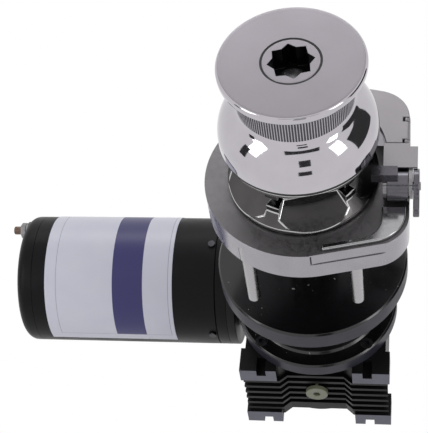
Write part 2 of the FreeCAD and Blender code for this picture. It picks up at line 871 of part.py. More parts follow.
# ---------------------------------------------------------------- shaft support in the deck

def deck_bush():
    bore = size("shaft_radius") + size("shaft_fit")
    floor = size("base_height") - size("base_recess_depth")
    outer = size("tube_bore_radius")
    node(tube("deck_bush", bore, outer - 0.02, -12.0, size("tube_seat")), "deck_bush")
    node(tube("shaft_seal", bore, outer + 1.95, size("tube_seat") + 0.1, floor - 0.3), "shaft_seal")


def stand_off_tube():
    low = disc_top - size("tube_seat")
    body = tube("stand_off_tube", size("tube_bore_radius"), size("tube_radius"), low, size("tube_seat"))
    return node(body, "stand_off_tube")


def mounting_flange():
    """The black spool between the tube and the gearbox: a wide disc, a neck and a ring."""
    seat = size("tube_radius") + size("shaft_fit")
    seat_floor = disc_top - size("tube_seat")
    bore = size("tube_bore_radius")
    inner = size("neck_radius") - 9.0
    disc_r = size("disc_radius")
    neck = size("neck_radius")
    ring = size("ring_radius")
    edge = size("base_edge_round")
    body = turned("mounting_flange", [
        (seat, disc_top), (disc_r - edge, disc_top), (disc_r, disc_top - edge),
        (disc_r, disc_bottom), (neck + 4.0, disc_bottom),
        (neck, disc_bottom - 4.0), (neck, ring_top + 1.5), (neck + 1.5, ring_top), (ring - edge, ring_top),
        (ring, ring_top - edge), (ring, gearbox_top), (inner, gearbox_top), (inner, disc_bottom - 8.0),
        (bore, disc_bottom), (bore, seat_floor), (seat, seat_floor)])
    bolts = bolt_places(4, flange_bolt_radius, 45)
    holes = [(x, y, 2.6) for x, y in bolts]
    drill(body, "XY_Plane", gearbox_top - 1, size("ring_thickness") + 2, holes)
    return node(body, "mounting_flange")


def bolt_places(count, radius, first):
    return [(radius * cosine(first + 360.0 / count * step), radius * sine(first + 360.0 / count * step))
            for step in range(count)]


def cap_screw(radius, length, head_radius, head_height):
    """A screw with its seat at height 0 and its shank below."""
    return turned("screw", [
        (0, -length), (radius, -length), (radius, 0), (head_radius, 0), (head_radius, head_height), (0, head_height)])


def flange_screws():
    screws = []
    for x, y in bolt_places(4, flange_bolt_radius, 45):
        screws.append(place(cap_screw(2.5, size("ring_thickness") + 9.0, 4.2, 4.0), x, y, ring_top))
    return group("flange_screws", screws)


# ---------------------------------------------------------------- gearbox

def front_contour(extra):
    """The front of the gear case: side panels, sloping steps and a set-back middle panel."""
    side = size("body_half_width") + extra / 2
    front = size("body_front_y") + extra
    panel = size("panel_front_y") + extra
    half = size("panel_half_width")
    step = 5.0
    return [(-side, -front), (-half - step, -front), (-half, -panel), (half, -panel),
            (half + step, -front), (side, -front)]


def gearbox_housing():
    body = new_body("gearbox_housing")
    side = size("body_half_width")
    low = gearbox_bottom + 4.5
    back = worm_y - 4.0
    pad(body, "XY_Plane", low, gearbox_top - low, front_contour(0) + [(side, back), (-side, back)])
    disc(body, "YZ_Plane", -side, side * 2, [(worm_y, gear_z, size("worm_housing_radius"))])
    ribs(body)
    lugs(body, gearbox_top - size("lug_height"), 1)
    lugs(body, gearbox_bottom, -1)
    case_bores(body, low)
    return node(body, "gearbox_housing")


def ribs(body):
    depth = size("rib_depth")
    pitch = size("rib_pitch")
    thick = size("rib_thickness")
    start = gear_z - pitch * (size("rib_count") - 1) / 2 - thick / 2
    side = size("body_half_width")
    contour = front_contour(depth)
    rib = pad(body, "XY_Plane", start, thick, contour + [(side, -30), (-side, -30)])
    pattern = body.newObject("PartDesign::LinearPattern", "LinearPattern")
    pattern.Originals = [rib]
    axis = [item for item in body.Origin.OriginFeatures if item.Role == "Z_Axis"][0]
    pattern.Direction = (axis, [""])
    run = pitch * (size("rib_count") - 1)
    pattern.Length = run.value
    pattern.setExpression("Length", run.text)
    pattern.Occurrences = int(size("rib_count").value)
    pattern.setExpression("Occurrences", "Sizes.rib_count")
    body.Tip = pattern


def lugs(body, low, side):
    """Two feet of one row, each with a slot that opens outwards."""
    wide = size("gearbox_half_width")
    for hand in (-1, 1):
        outer = wide * hand
        inner = (wide - size("lug_width")) * hand
        left, right = (outer, inner) if hand < 0 else (inner, outer)
        pad(body, "XY_Plane", low, size("lug_height"), rectangle(left, -size("foot_y"), right, 17.5 - size("foot_y")))
    slot = size("lug_slot_radius")
    if side > 0:
        slot_low = gearbox_top - size("lug_slot_depth")
    else:
        slot_low = gearbox_bottom - 1
    length = size("lug_slot_depth") + 1
    depth = size("foot_y") - size("body_front_y") + 6.0
    for hand in (-1, 1):
        centre = size("lug_slot_x") * hand
        pocket(body, "XY_Plane", slot_low, length,
               rectangle(centre - slot, -size("foot_y") - 1, centre + slot, depth - size("foot_y")))


def case_bores(body, low):
    """The wheel chamber, the bearing seats and the worm tunnel."""
    cavity = size("cavity_radius")
    seat = size("bearing_radius") + 0.02
    roof = gearbox_top - 5.5 - size("bearing_width")
    chamber_top = roof + 2.0
    revolve(body, "Groove", [
        (0, low - 6), (cavity, low - 6), (cavity, chamber_top - 6.0), (seat, chamber_top - 2.0),
        (seat, gearbox_top + 1), (0, gearbox_top + 1)])
    tunnel = size("worm_bearing_radius") + 0.02
    side = size("gearbox_half_width") + 1
    drill(body, "YZ_Plane", -side, side * 2, [(worm_y, gear_z, tunnel)])
    drill(body, "XZ_Plane", size("panel_front_y") - 4.0, 10.0, [(0, gear_z, size("plug_radius") - 2.5)])
    screws = [(x, y, 2.6) for x, y in bolt_places(4, flange_bolt_radius, 45)]
    drill(body, "XY_Plane", gearbox_top - 10.0, 11.0, screws)


def bottom_cover():
    """The round cover under the wheel with the lower bearing seat."""
    cavity = size("cavity_radius")
    low = gearbox_bottom + 1.0
    lip = gearbox_bottom + 4.5
    seat = size("bearing_radius") + 0.02
    top = gear_z - 17.5
    body = turned("bottom_cover", [
        (0, low), (cavity + 4.5, low), (cavity + 4.5, lip), (cavity - 0.05, lip), (cavity - 0.05, lip + 6.0),
        (seat + 2.5, top), (seat, top), (seat, top - size("bearing_width") - 0.1),
        (size("shaft_radius") + 2.0, top - size("bearing_width") - 0.1),
        (size("shaft_radius") + 2.0, lip), (0, lip)])
    return node(body, "bottom_cover")


def output_bearings():
    bore = size("shaft_radius") + size("shaft_fit")
    outer = size("bearing_radius")
    width = size("bearing_width")
    upper = gearbox_top - 5.5
    lower = gear_z - 17.5
    rings = [tube("bearing", bore, outer, upper - width, upper), tube("bearing", bore, outer, lower - width, lower)]
    group("output_bearings", rings)
    node(tube("output_seal", size("shaft_radius") + size("shaft_fit"), outer, upper + 0.2, gearbox_top - 0.2),
         "output_seal")


def oil_plug():
    """The pale plug in the middle front panel, with a hexagon recess."""
    face = size("panel_front_y")
    body = new_body("oil_plug")
    radius = size("plug_radius")
    disc(body, "XZ_Plane", face + size("rib_depth"), size("plug_thickness"), [(0, gear_z, radius)])
    disc(body, "XZ_Plane", face - 4.0, 4.0 + size("rib_depth"), [(0, gear_z, radius - 2.55)])
    hexagon = [(2.6 * cosine(60 * step), gear_z + 2.6 * sine(60 * step)) for step in range(6)]
    pocket(body, "XZ_Plane", face + size("rib_depth") - 1.0, size("plug_thickness") + 2, hexagon)
    return node(body, "oil_plug")


# ---------------------------------------------------------------- worm drive

def tooth_half_angle(radius, pitch_radius, tooth):
    """Half the angle that an involute tooth fills at a radius, from its thickness on the pitch circle."""
    base = pitch_radius * math.cos(math.radians(20))
    bend = math.acos(min(base / radius, 1.0))
    start = math.radians(20)
    return tooth / (2 * pitch_radius) + math.tan(start) - start - (math.tan(bend) - bend)


def wheel_outline(turn, level):
    """The outline of the toothed rim at one level, turned by an angle in radians."""
    module = size("gear_module").value
    teeth = int(size("wheel_teeth").value)
    pitch_radius = module * teeth / 2
    tooth = module * math.pi / 2 - size("tooth_clearance").value
    radii = (pitch_radius - 1.25 * module, pitch_radius - 0.4 * module, pitch_radius + module)
    points = []
    for step in range(teeth):
        middle = math.pi / 2 + (step + 0.5) * 2 * math.pi / teeth + turn
        flank = [(radius, tooth_half_angle(radius, pitch_radius, tooth)) for radius in radii]
        for radius, half in flank:
            points.append((radius, middle - half))
        for radius, half in reversed(flank):
            points.append((radius, middle + half))
    corners = [FreeCAD.Vector(r * math.cos(a), r * math.sin(a), level) for r, a in points]
    return Part.makePolygon(corners + [corners[0]])


def worm_wheel():
    """The bronze rim with its slanted teeth, and the iron hub that carries it."""
    half = size("wheel_width").value / 2
    lead = size("gear_module").value / (2 * size("worm_pitch_radius").value)
    turn = lead * half / (size("gear_module").value * size("wheel_teeth").value / 2)
    outlines = [wheel_outline(-turn, -half), wheel_outline(turn, half)]
    seat = size("wheel_hub_radius").value + 8.0
    bore = Part.makeCylinder(seat, half * 2 + 2, FreeCAD.Vector(0, 0, -half - 1))
    rim = doc.addObject("Part::Feature", "wheel_rim")
    rim.Shape = Part.makeLoft(outlines, True, True).cut(bore)
    place(rim, 0, 0, gear_z)
    node(rim, "wheel_rim")
    hub = size("wheel_hub_radius")
    wide = size("wheel_width") / 2
    rim_seat = hub + 8.0
    fit = size("shaft_radius") + size("shaft_fit")
    ends = 17.2
    body = turned("wheel_hub", [
        (fit, gear_z - ends), (hub, gear_z - ends), (hub, gear_z - wide), (rim_seat, gear_z - wide),
        (rim_seat, gear_z + wide), (hub, gear_z + wide), (hub, gear_z + ends), (fit, gear_z + ends)])
    keyway(body, gear_z - ends - 1, 2 * ends + 2)
    return node(body, "wheel_hub")


def worm_thread():
    """One right-hand thread of the worm, on its own Z axis, in step with the wheel's spaces."""
    module = size("gear_module").value
    pitch_radius = size("worm_pitch_radius").value
    lead = module * math.pi
    half = (lead / 2 - size("tooth_clearance").value) / 2
    lean = math.tan(math.radians(20))
    root_radius = pitch_radius - 1.25 * module - 0.4
    tip_radius = pitch_radius + module
    start = -2.75 * lead
    foot = half + (pitch_radius - root_radius) * lean
    tip = half - module * lean
    corners = [(root_radius, -foot), (tip_radius, -tip), (tip_radius, tip), (root_radius, foot)]
    profile = [FreeCAD.Vector(radius, 0, start + rise) for radius, rise in corners]
    path = Part.makeHelix(lead, 5.5 * lead, pitch_radius)
    path.translate(FreeCAD.Vector(0, 0, start))
    return Part.Wire(path.Edges).makePipeShell([Part.makePolygon(profile + [profile[0]])], True, True)


def worm_shaft():
    """The worm and its shaft in one piece, cut to length inside the case."""
    half = size("worm_length").value / 2
    core_radius = (size("worm_pitch_radius") - 1.25 * size("gear_module")).value
    reach = (size("body_half_width") - 0.6).value
    drive_end = (size("gearbox_half_width") + 6.0).value
    envelope = Part.makeCylinder(size("worm_pitch_radius").value * 2, 2 * half, FreeCAD.Vector(0, 0, -half))
    core = Part.makeCylinder(core_radius, reach + drive_end, FreeCAD.Vector(0, 0, -drive_end))
    shaft = doc.addObject("Part::Feature", "worm_shaft")
    shaft.Shape = core.fuse(worm_thread().common(envelope))
    return node(along_x(shaft), "worm_shaft")


def x_tube(label, inner, outer, start, end):
    return node(along_x(tube(label, inner, outer, start, end)), label)


def worm_supports():
    core = size("worm_pitch_radius") - 1.25 * size("gear_module")
    outer = size("worm_bearing_radius")
    width = size("worm_bearing_width")
    end = size("body_half_width") - 0.5
    rings = []
    for start in (end - width, -end):
        rings.append(along_x(tube("bearing", core + size("shaft_fit"), outer, start, start + width)))
    group("worm_bearings", rings)
    face = size("body_half_width")
    cap = turned("worm_end_cap", [
        (0, face), (24.0, face), (24.0, face + 2.0), (23.0, face + 3.0), (0, face + 3.0)])
    node(along_x(cap), "worm_end_cap")
    plate = size("motor_near_x")
    neck = size("worm_housing_radius") + 2.0
    flange = turned("input_flange", [
        (outer + 1.0, -plate), (size("motor_radius"), -plate), (size("motor_radius"), -plate + 6.0),
        (neck, -plate + 6.0), (neck, -face), (outer + 1.0, -face)])
    node(along_x(flange), "input_flange")
    drive_end = size("gearbox_half_width") + 6.0
    sleeve = turned("shaft_coupling", [
        (size("motor_shaft_radius") + 0.02, -plate + 0.5), (11.0, -plate + 0.5), (11.0, -face - 2.0),
        (core + 0.02, -face - 2.0), (core + 0.02, -drive_end - 0.2),
        (size("motor_shaft_radius") + 0.02, -drive_end - 0.2)])
    node(along_x(sleeve), "shaft_coupling")


# ---------------------------------------------------------------- motor

motor_bearing_radius = 11.0
motor_bearing_width = 7.0


def motor_screw_level():
    return -(size("motor_near_x") + size("bell_length") + 3.0)


def screw_holes(body):
    """Four radial holes for the screws that hold the can to the front bell."""
    reach = size("motor_radius") + 1
    for role in ("YZ_Plane", "XZ_Plane"):
        drill(body, role, -reach, reach * 2, [(0, motor_screw_level(), 1.55)])


def motor_shell():
    radius = size("motor_radius")
    inner = radius - size("can_wall")
    far = -size("motor_far_x")
    cap_end = far + size("end_cap_length")
    bell = -(size("motor_near_x") + size("bell_length"))
    near = -size("motor_near_x")
    can = tube("motor_can", inner, radius, cap_end, bell)
    screw_holes(can)
    node(along_x(can), "motor_can")
    seat = motor_bearing_radius + 0.02
    cap = turned("motor_end_cap", [
        (0, far), (radius - 6.0, far), (radius - 1.8, far + 1.8), (radius, far + 6.0), (radius, cap_end), (inner, cap_end),
        (inner - 6.0, far + 4.0), (seat + 3.0, far + 4.0), (seat + 3.0, cap_end - 0.5), (seat, cap_end - 0.5),
        (seat, cap_end - 0.5 - motor_bearing_width), (0, cap_end - 0.5 - motor_bearing_width)])
    drill(cap, "XY_Plane", far - 1, 8.0,
          [(-size("terminal_z"), size("terminal_y"), size("terminal_radius") + 0.05)])
    node(along_x(cap), "motor_end_cap")
    front = turned("motor_front_bell", [
        (seat, near), (radius, near), (radius, bell + 0.8), (radius - 0.8, bell), (inner - 0.05, bell),
        (inner - 0.05, bell - 6.0), (inner - 4.0, bell - 6.0), (inner - 4.0, bell - 1.5), (8.0, bell - 1.5),
        (8.0, near - motor_bearing_width - 0.1), (seat, near - motor_bearing_width - 0.1)])
    screw_holes(front)
    node(along_x(front), "motor_front_bell")


def part_ring(label, inner, outer, start, end, sweep, first):
    """A piece of a ring on the motor axis: first is the turn of its leading edge, in degrees."""
    body = new_body(label)
    feature = revolve(body, "Revolution", rectangle(inner, start, outer, end))
    feature.Angle = as_size(sweep).value
    feature.setExpression("Angle", as_size(sweep).text)
    place(body, 0, worm_y, gear_z)
    turn = FreeCAD.Rotation(FreeCAD.Vector(0, 1, 0), 90)
    spin = FreeCAD.Rotation(FreeCAD.Vector(0, 0, 1), as_size(first).value)
    body.Placement = FreeCAD.Placement(body.Placement.Base, turn.multiply(spin))
    return body


def motor_label():
    radius = size("motor_radius")
    first = size("label_start_angle") - size("label_sweep") + 90
    label = part_ring("motor_label", radius + 0.02, radius + 0.02 + size("label_thickness"),
                      -size("label_far_x"), -size("label_near_x"), size("label_sweep"), first)
    return node(label, "motor_label")


def motor_inside():
    inner = size("motor_radius") - size("can_wall")
    shaft = size("motor_shaft_radius")
    middle = -(size("motor_far_x") + size("motor_near_x")) / 2 + 4.0
    half = size("rotor_length") / 2
    thick = size("magnet_thickness")
    magnets = [part_ring("magnet", inner - 0.1 - thick, inner - 0.1, middle - half, middle + half, 140, first)
               for first in (20, 200)]
    group("motor_magnets", magnets)
    x_tube("armature_core", shaft + 0.02, size("rotor_radius"), middle - half, middle + half)
    commutator_end = middle - half - 3.0
    commutator_start = commutator_end - size("commutator_length")
    x_tube("commutator", shaft + 0.02, size("commutator_radius"), commutator_start, commutator_end)
    far = -size("motor_far_x") + size("end_cap_length") - 0.5 - motor_bearing_width
    near = -(size("gearbox_half_width") + 6.4)
    node(along_x(turned("motor_shaft", [
        (0, far + 0.3), (shaft - 0.5, far + 0.3), (shaft, far + 0.8), (shaft, near), (0, near)])), "motor_shaft")
    front = -size("motor_near_x") - 0.1
    bearings = [along_x(tube("bearing", shaft + size("shaft_fit"), motor_bearing_radius, start, start + motor_bearing_width))
                for start in (far + 0.02, front - motor_bearing_width)]
    group("motor_bearings", bearings)
    brushes(commutator_start, commutator_end, inner)


def brushes(start, end, inner):
    """Two carbon brushes in box guides on a ring plate."""
    plate_low = start - 4.5
    holder = new_body("brush_plate")
    revolve(holder, "Revolution", rectangle(size("commutator_radius") + 4.0, plate_low, inner - 0.1, start - 1.5))
    reach = size("commutator_radius") + 5.0
    far = inner - 6.0
    for hand in (-1, 1):
        left, right = (-far, -reach) if hand < 0 else (reach, far)
        pad(holder, "XY_Plane", start - 2.0, end - start - 1.0, rectangle(left, -6.5, right, 6.5))
    pocket(holder, "XY_Plane", start + 1.5, end - start - 5.0, rectangle(-far - 1, -4.0, far + 1, 4.0))
    node(along_x(holder), "brush_plate")
    blocks = []
    for hand in (-1, 1):
        contact = size("commutator_radius") + 0.3
        left, right = (-far, -contact) if hand < 0 else (contact, far)
        block = new_body("brush")
        pad(block, "XY_Plane", start + 1.6, end - start - 5.2, rectangle(left, -3.9, right, 3.9))
        blocks.append(along_x(block))
    group("carbon_brushes", blocks)


def terminal():
    """The one terminal on the far end of the motor: stud, insulating washer and two nuts."""
    far = -size("motor_far_x")
    radius = size("terminal_radius")
    tip = far - size("terminal_length")
    y = worm_y + size("terminal_y")
    z = gear_z + size("terminal_z")
    pieces = [
        ("terminal_stud", turned("terminal_stud", [
            (0, tip), (radius - 0.6, tip), (radius, tip + 0.6), (radius, far + 5.5), (0, far + 5.5)])),
        ("terminal_insulator", turned("terminal_insulator", [
            (radius + 0.05, far - 2.6), (radius + 3.6, far - 2.6), (radius + 3.6, far), (radius + 0.05, far)]))]
    for label, body in pieces:
        node(place(body, 0, y, z, (0, 1, 0), 90), label)
    nuts = []
    for low, thick in ((far - 8.2, 3.6), (far - 4.4, 1.8)):
        nut = new_body("nut")
        reach = radius + 2.8
        pad(nut, "XY_Plane", low, thick, [(reach * cosine(60 * i), reach * sine(60 * i)) for i in range(6)])
        drill(nut, "XY_Plane", low - 1, thick + 2, [(0, 0, radius + 0.02)])
        nuts.append(place(nut, 0, y, z, (0, 1, 0), 90))
    group("terminal_nuts", nuts)


def motor_screws():
    """Four small screws through the can into the front bell."""
    radius = size("motor_radius")
    screws = []
    x = motor_screw_level()
    for i, j in ((1, 0), (0, 1), (-1, 0), (0, -1)):
        screw = cap_screw(1.5, 6.5, 2.6, 1.6)
        place(screw, x, worm_y + radius * i, gear_z + radius * j)
        turn = FreeCAD.Rotation(FreeCAD.Vector(0, 0, 1), FreeCAD.Vector(0, i, j))
        screw.Placement = FreeCAD.Placement(screw.Placement.Base, turn)
        screws.append(screw)
    return group("motor_screws", screws)


# ---------------------------------------------------------------- build, check and write

def build():
    deck_base()
    chain_guide()
    hawse_box()
    hawse_cover()
    chain_stripper()
    finger_bracket()
    finger_pin()
    cover_hinge_pin()
    pressure_finger()
    release_lever()
    deck_studs()
    main_shaft()
    keys()
    clutch_cone_lower()
    gypsy()
    clutch_spring()
    clutch_cone_upper()
    drum()
    drum_seal_ring()
    clutch_nut()
    nut_seal_ring()
    deck_bush()
    stand_off_tube()
    mounting_flange()
    flange_screws()
    gearbox_housing()
    bottom_cover()
    output_bearings()
    oil_plug()
    worm_wheel()
    worm_shaft()
    worm_supports()
    motor_shell()
    motor_label()
    motor_inside()
    terminal()
    motor_screws()


def check():
    """Stops the run when any object failed or any piece is empty or broken."""
    for item in doc.Objects:
        for word in ("Invalid", "Error"):
            if word in item.State:
                raise RuntimeError("%s (%s) is %s" % (item.Name, item.Label, item.State))
    for piece in nodes:
        if piece.Shape.isNull() or not piece.Shape.isValid() or not piece.Shape.Solids:
            raise RuntimeError("%s has no sound shape" % piece.Label)


build()
doc.recompute()
check()
os.makedirs("parts", exist_ok=True)
for piece in nodes:
    piece.Shape.exportStep("parts/%s.step" % piece.Label)
print("%d pieces written" % len(nodes))
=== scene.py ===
import bpy, json, math
from mathutils import Matrix, Vector

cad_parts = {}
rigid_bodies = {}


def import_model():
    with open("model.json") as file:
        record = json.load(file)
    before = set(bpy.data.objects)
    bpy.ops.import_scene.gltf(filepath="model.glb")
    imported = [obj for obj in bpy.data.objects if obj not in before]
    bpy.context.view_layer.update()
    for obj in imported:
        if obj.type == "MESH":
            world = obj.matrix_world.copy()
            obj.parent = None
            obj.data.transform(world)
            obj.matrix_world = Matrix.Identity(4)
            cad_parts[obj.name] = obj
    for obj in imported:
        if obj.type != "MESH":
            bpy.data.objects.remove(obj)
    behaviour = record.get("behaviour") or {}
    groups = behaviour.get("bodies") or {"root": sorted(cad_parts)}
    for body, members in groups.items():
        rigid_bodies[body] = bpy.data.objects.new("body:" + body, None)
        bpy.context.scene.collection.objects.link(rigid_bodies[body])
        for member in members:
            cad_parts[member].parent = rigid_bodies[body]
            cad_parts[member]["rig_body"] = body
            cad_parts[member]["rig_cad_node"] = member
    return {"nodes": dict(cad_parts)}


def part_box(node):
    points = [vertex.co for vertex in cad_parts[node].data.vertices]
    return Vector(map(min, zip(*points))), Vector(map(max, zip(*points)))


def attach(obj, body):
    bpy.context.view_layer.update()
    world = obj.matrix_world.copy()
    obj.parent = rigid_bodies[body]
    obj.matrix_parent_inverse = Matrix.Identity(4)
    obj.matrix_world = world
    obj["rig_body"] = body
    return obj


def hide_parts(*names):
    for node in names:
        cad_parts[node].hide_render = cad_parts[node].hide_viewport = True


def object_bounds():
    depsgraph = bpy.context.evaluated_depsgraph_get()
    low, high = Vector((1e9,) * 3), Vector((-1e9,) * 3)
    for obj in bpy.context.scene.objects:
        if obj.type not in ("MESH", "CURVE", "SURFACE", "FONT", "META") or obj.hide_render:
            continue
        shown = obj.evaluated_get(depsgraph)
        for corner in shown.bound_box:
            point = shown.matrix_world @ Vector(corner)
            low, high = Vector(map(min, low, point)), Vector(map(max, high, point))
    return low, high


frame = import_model()
cad_low, cad_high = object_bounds()
bpy.ops.object.select_all(action="DESELECT")


# --- Camera and soft studio -------------------------------------------------------------------
# The capstan is looked at from above its front, with a long lens from a little under a metre away.
# A pale floor lies just below the gearbox, and the light is soft from every side.

lens_place = Vector((0.07705, -0.52035, 0.68139))
lens_right = Vector((0.98799, 0.09930, -0.11850))
lens_up = Vector((-0.00920, 0.80285, 0.59613))
lens_back = lens_right.cross(lens_up)
sensor_mm = 36.0
lens_mm = 116.3972
camera_data = bpy.data.cameras.new("long_lens_camera")
camera_data.sensor_fit = "AUTO"
camera_data.sensor_width = sensor_mm
camera_data.lens = lens_mm
camera_data.clip_start = 0.01
camera_data.clip_end = 20.0
camera = bpy.data.objects.new("long_lens_camera", camera_data)
bpy.context.scene.collection.objects.link(camera)
lens_turn = Matrix((lens_right, lens_up, lens_back)).transposed().to_4x4()
camera.matrix_world = Matrix.Translation(lens_place) @ lens_turn
bpy.context.scene.camera = camera
bpy.context.scene.view_settings.view_transform = "Standard"


def linear(code):
    """An sRGB hex colour such as 'C3C6D8' as linear red, green, blue and alpha."""
    parts = [int(code[place:place + 2], 16) / 255 for place in (0, 2, 4)]
    light = [p / 12.92 if p <= 0.04045 else ((p + 0.055) / 1.055) ** 2.4 for p in parts]
    return (*light, 1.0)


def add_node(tree, kind, settings=None, **inputs):
    """Adds a shader node with its settings; an input, as Base_Color or _0, is a value or an output."""
    made = tree.nodes.new(kind)
    for name, value in (settings or {}).items():
        setattr(made, name, value)
    for name, value in inputs.items():
        key = int(name[1:]) if name[1:].isdigit() and name[0] == "_" else name.replace("_", " ")
        if isinstance(value, bpy.types.NodeSocket):
            tree.links.new(value, made.inputs[key])
        else:
            made.inputs[key].default_value = value
    return made


def new_tree(name):
    """A new material with an empty node tree."""
    made = bpy.data.materials.new(name)
    made.use_nodes = True
    made.node_tree.nodes.clear()
    return made, made.node_tree


def background_rays(tree):
    """One for rays that see the white background, straight or in metal and glass, else zero."""
    path = add_node(tree, "ShaderNodeLightPath")
    seen = add_node(tree, "ShaderNodeMath", {"operation": "MAXIMUM"},
                    _0=path.outputs["Is Camera Ray"], _1=path.outputs["Is Glossy Ray"])
    return add_node(tree, "ShaderNodeMath", {"operation": "MAXIMUM"},
                    _0=seen.outputs[0], _1=path.outputs["Is Transmission Ray"]).outputs[0]


studio_material, tree = new_tree("pale_studio_floor")
grain = add_node(tree, "ShaderNodeTexNoise", Scale=40.0, Detail=2.0)
shade = add_node(tree, "ShaderNodeMapRange", Value=grain.outputs["Fac"], To_Min=0.62, To_Max=0.66)
grey = add_node(tree, "ShaderNodeCombineColor", Red=shade.outputs[0], Green=shade.outputs[0],
                Blue=shade.outputs[0])
paint = add_node(tree, "ShaderNodeBsdfDiffuse", Color=grey.outputs[0])
white = add_node(tree, "ShaderNodeEmission", Color=(1, 1, 1, 1), Strength=1.0)
pick = add_node(tree, "ShaderNodeMixShader", _0=background_rays(tree), _1=paint.outputs[0],
                _2=white.outputs[0])
add_node(tree, "ShaderNodeOutputMaterial", Surface=pick.outputs[0])
floor_radius = 1.1
floor_drop = 0.004
bpy.ops.mesh.primitive_circle_add(vertices=64, radius=floor_radius, fill_type="NGON",
                                  location=(0, 0, cad_low[2] - floor_drop))
floor = bpy.context.object
floor.name = "studio_floor"
floor.data.materials.append(studio_material)

# The room is plain: a soft light that is a little weaker overhead, and a white background.
world = bpy.data.worlds.new("soft_studio")
bpy.context.scene.world = world
world.use_nodes = True
world.node_tree.nodes.clear()
tree = world.node_tree
view = add_node(tree, "ShaderNodeTexCoord")
split = add_node(tree, "ShaderNodeSeparateXYZ", Vector=view.outputs["Generated"])
room = add_node(tree, "ShaderNodeMapRange", {"interpolation_type": "SMOOTHSTEP"},
                Value=split.outputs["Z"], From_Min=-0.1, From_Max=0.75, To_Min=0.78, To_Max=0.46)
tone = add_node(tree, "ShaderNodeCombineColor", Red=room.outputs[0], Green=room.outputs[0],
                Blue=room.outputs[0])
soft = add_node(tree, "ShaderNodeBackground", Color=tone.outputs[0], Strength=1.0)
bare = add_node(tree, "ShaderNodeBackground", Color=(1, 1, 1, 1), Strength=1.0)
pick = add_node(tree, "ShaderNodeMixShader", _0=background_rays(tree), _1=soft.outputs[0],
                _2=bare.outputs[0])
add_node(tree, "ShaderNodeOutputWorld", Surface=pick.outputs[0])

# Matt dark cards that the camera doesn't see stand round the object, so that polished steel has
# something darker than white to show. Each has its place, and its width and height in metres.
card_material, tree = new_tree("matt_grey_card")
grain = add_node(tree, "ShaderNodeTexNoise", Scale=30.0, Detail=2.0)
shade = add_node(tree, "ShaderNodeMapRange", Value=grain.outputs["Fac"], To_Min=0.05, To_Max=0.09)
grey = add_node(tree, "ShaderNodeCombineColor", Red=shade.outputs[0], Green=shade.outputs[0],
                Blue=shade.outputs[0])
paint = add_node(tree, "ShaderNodeBsdfDiffuse", Color=grey.outputs[0])
add_node(tree, "ShaderNodeOutputMaterial", Surface=paint.outputs[0])
for name, place, wide, high in (
        ("low_card_in_front", (0.30, -1.55, 0.05), 0.45, 0.30),
        ("high_card_in_front", (0.30, -1.40, 0.75), 0.40, 0.45),
        ("long_card_overhead", (0.20, -1.05, 1.60), 1.30, 0.25),
        ("tall_card_at_right", (1.55, 0.35, 0.35), 1.25, 1.20),
        ("tall_card_at_left", (-1.60, -0.55, 0.45), 0.30, 0.75)):
    bpy.ops.mesh.primitive_plane_add(size=1.0)
    card = bpy.context.object
    card.name = name
    card.scale = (wide, high, 1.0)
    card.location = place
    card.rotation_euler = (-Vector(place)).to_track_quat("Z", "Y").to_euler()
    card.data.materials.append(card_material)
    card.visible_camera = False

# Each lamp has its place, its width and height in metres, and its power in watts.
lamp_aim = Vector((0, 0, 0.03))
for name, place, wide, high, power in (
        ("left_window", (-1.3, -0.7, 1.0), 0.5, 0.9, 5.0),
        ("right_window", (1.2, -0.6, 0.8), 0.4, 0.8, 4.0),
        ("back_softbox", (-0.2, 1.3, 0.9), 1.0, 0.5, 4.0)):
    lamp = bpy.data.lights.new(name, "AREA")
    lamp.shape = "RECTANGLE"
    lamp.size = wide
    lamp.size_y = high
    lamp.energy = power
    held = bpy.data.objects.new(name, lamp)
    bpy.context.scene.collection.objects.link(held)
    held.location = place
    held.rotation_euler = (lamp_aim - Vector(place)).to_track_quat("-Z", "Y").to_euler()


# --- Gearbox --------------------------------------------------------------------------------
# A sand-cast aluminium case with ribbed front panels and four slotted feet, painted satin black.
# Its cast edges are rounded; a cover, an end cap and the motor's flange are bolted to it.

def painted(name, code, rough, grain_mm, depth_mm, dust_and_sheen_code="55555A", dust_and_sheen=0.08, shine=0.5):
    """Paint or a moulded skin: a fine bump, and a gloss and a pale bloom, dust or painted sheen, that
    drift over some 29 mm.
    """
    patch_mm = 28.571
    made, tree = new_tree(name)
    place = add_node(tree, "ShaderNodeTexCoord")
    peel = add_node(tree, "ShaderNodeTexNoise", Vector=place.outputs["Object"],
                    Scale=1000.0 / grain_mm, Detail=3.0)
    drift = add_node(tree, "ShaderNodeTexNoise", Vector=place.outputs["Object"],
                     Scale=1000.0 / patch_mm, Detail=4.0)
    worn = add_node(tree, "ShaderNodeMapRange", Value=drift.outputs["Fac"], From_Min=0.3,
                    From_Max=0.7, To_Min=rough * 0.8, To_Max=rough * 1.25)
    dust_and_sheen_patches = add_node(tree, "ShaderNodeMapRange", Value=drift.outputs["Fac"], From_Min=0.5,
                     From_Max=0.85, To_Min=0.0, To_Max=dust_and_sheen)
    colour = add_node(tree, "ShaderNodeMix", {"data_type": "RGBA"}, _0=dust_and_sheen_patches.outputs[0],
                      _6=linear(code), _7=linear(dust_and_sheen_code))
    bump = add_node(tree, "ShaderNodeBump", Strength=0.35, Distance=depth_mm / 1000.0,
                    Height=peel.outputs["Fac"])
    shader = add_node(tree, "ShaderNodeBsdfPrincipled", Base_Color=colour.outputs[2],
                      Roughness=worn.outputs[0], Normal=bump.outputs[0], IOR=1.5,
                      Specular_IOR_Level=shine)
    add_node(tree, "ShaderNodeOutputMaterial", Surface=shader.outputs[0])
    return made


def plain_slots(name, finish):
    """Gives a CAD node its finish."""
    piece = frame["nodes"][name]
    piece.data.materials.clear()
    piece.data.materials.append(finish)


def hang_on(piece, slot, *nodes):
    """Rides a piece on the body of the nodes it stands for, and hides those nodes; slot is not used."""
    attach(piece, frame["nodes"][nodes[0]]["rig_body"])
    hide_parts(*nodes)
    return piece


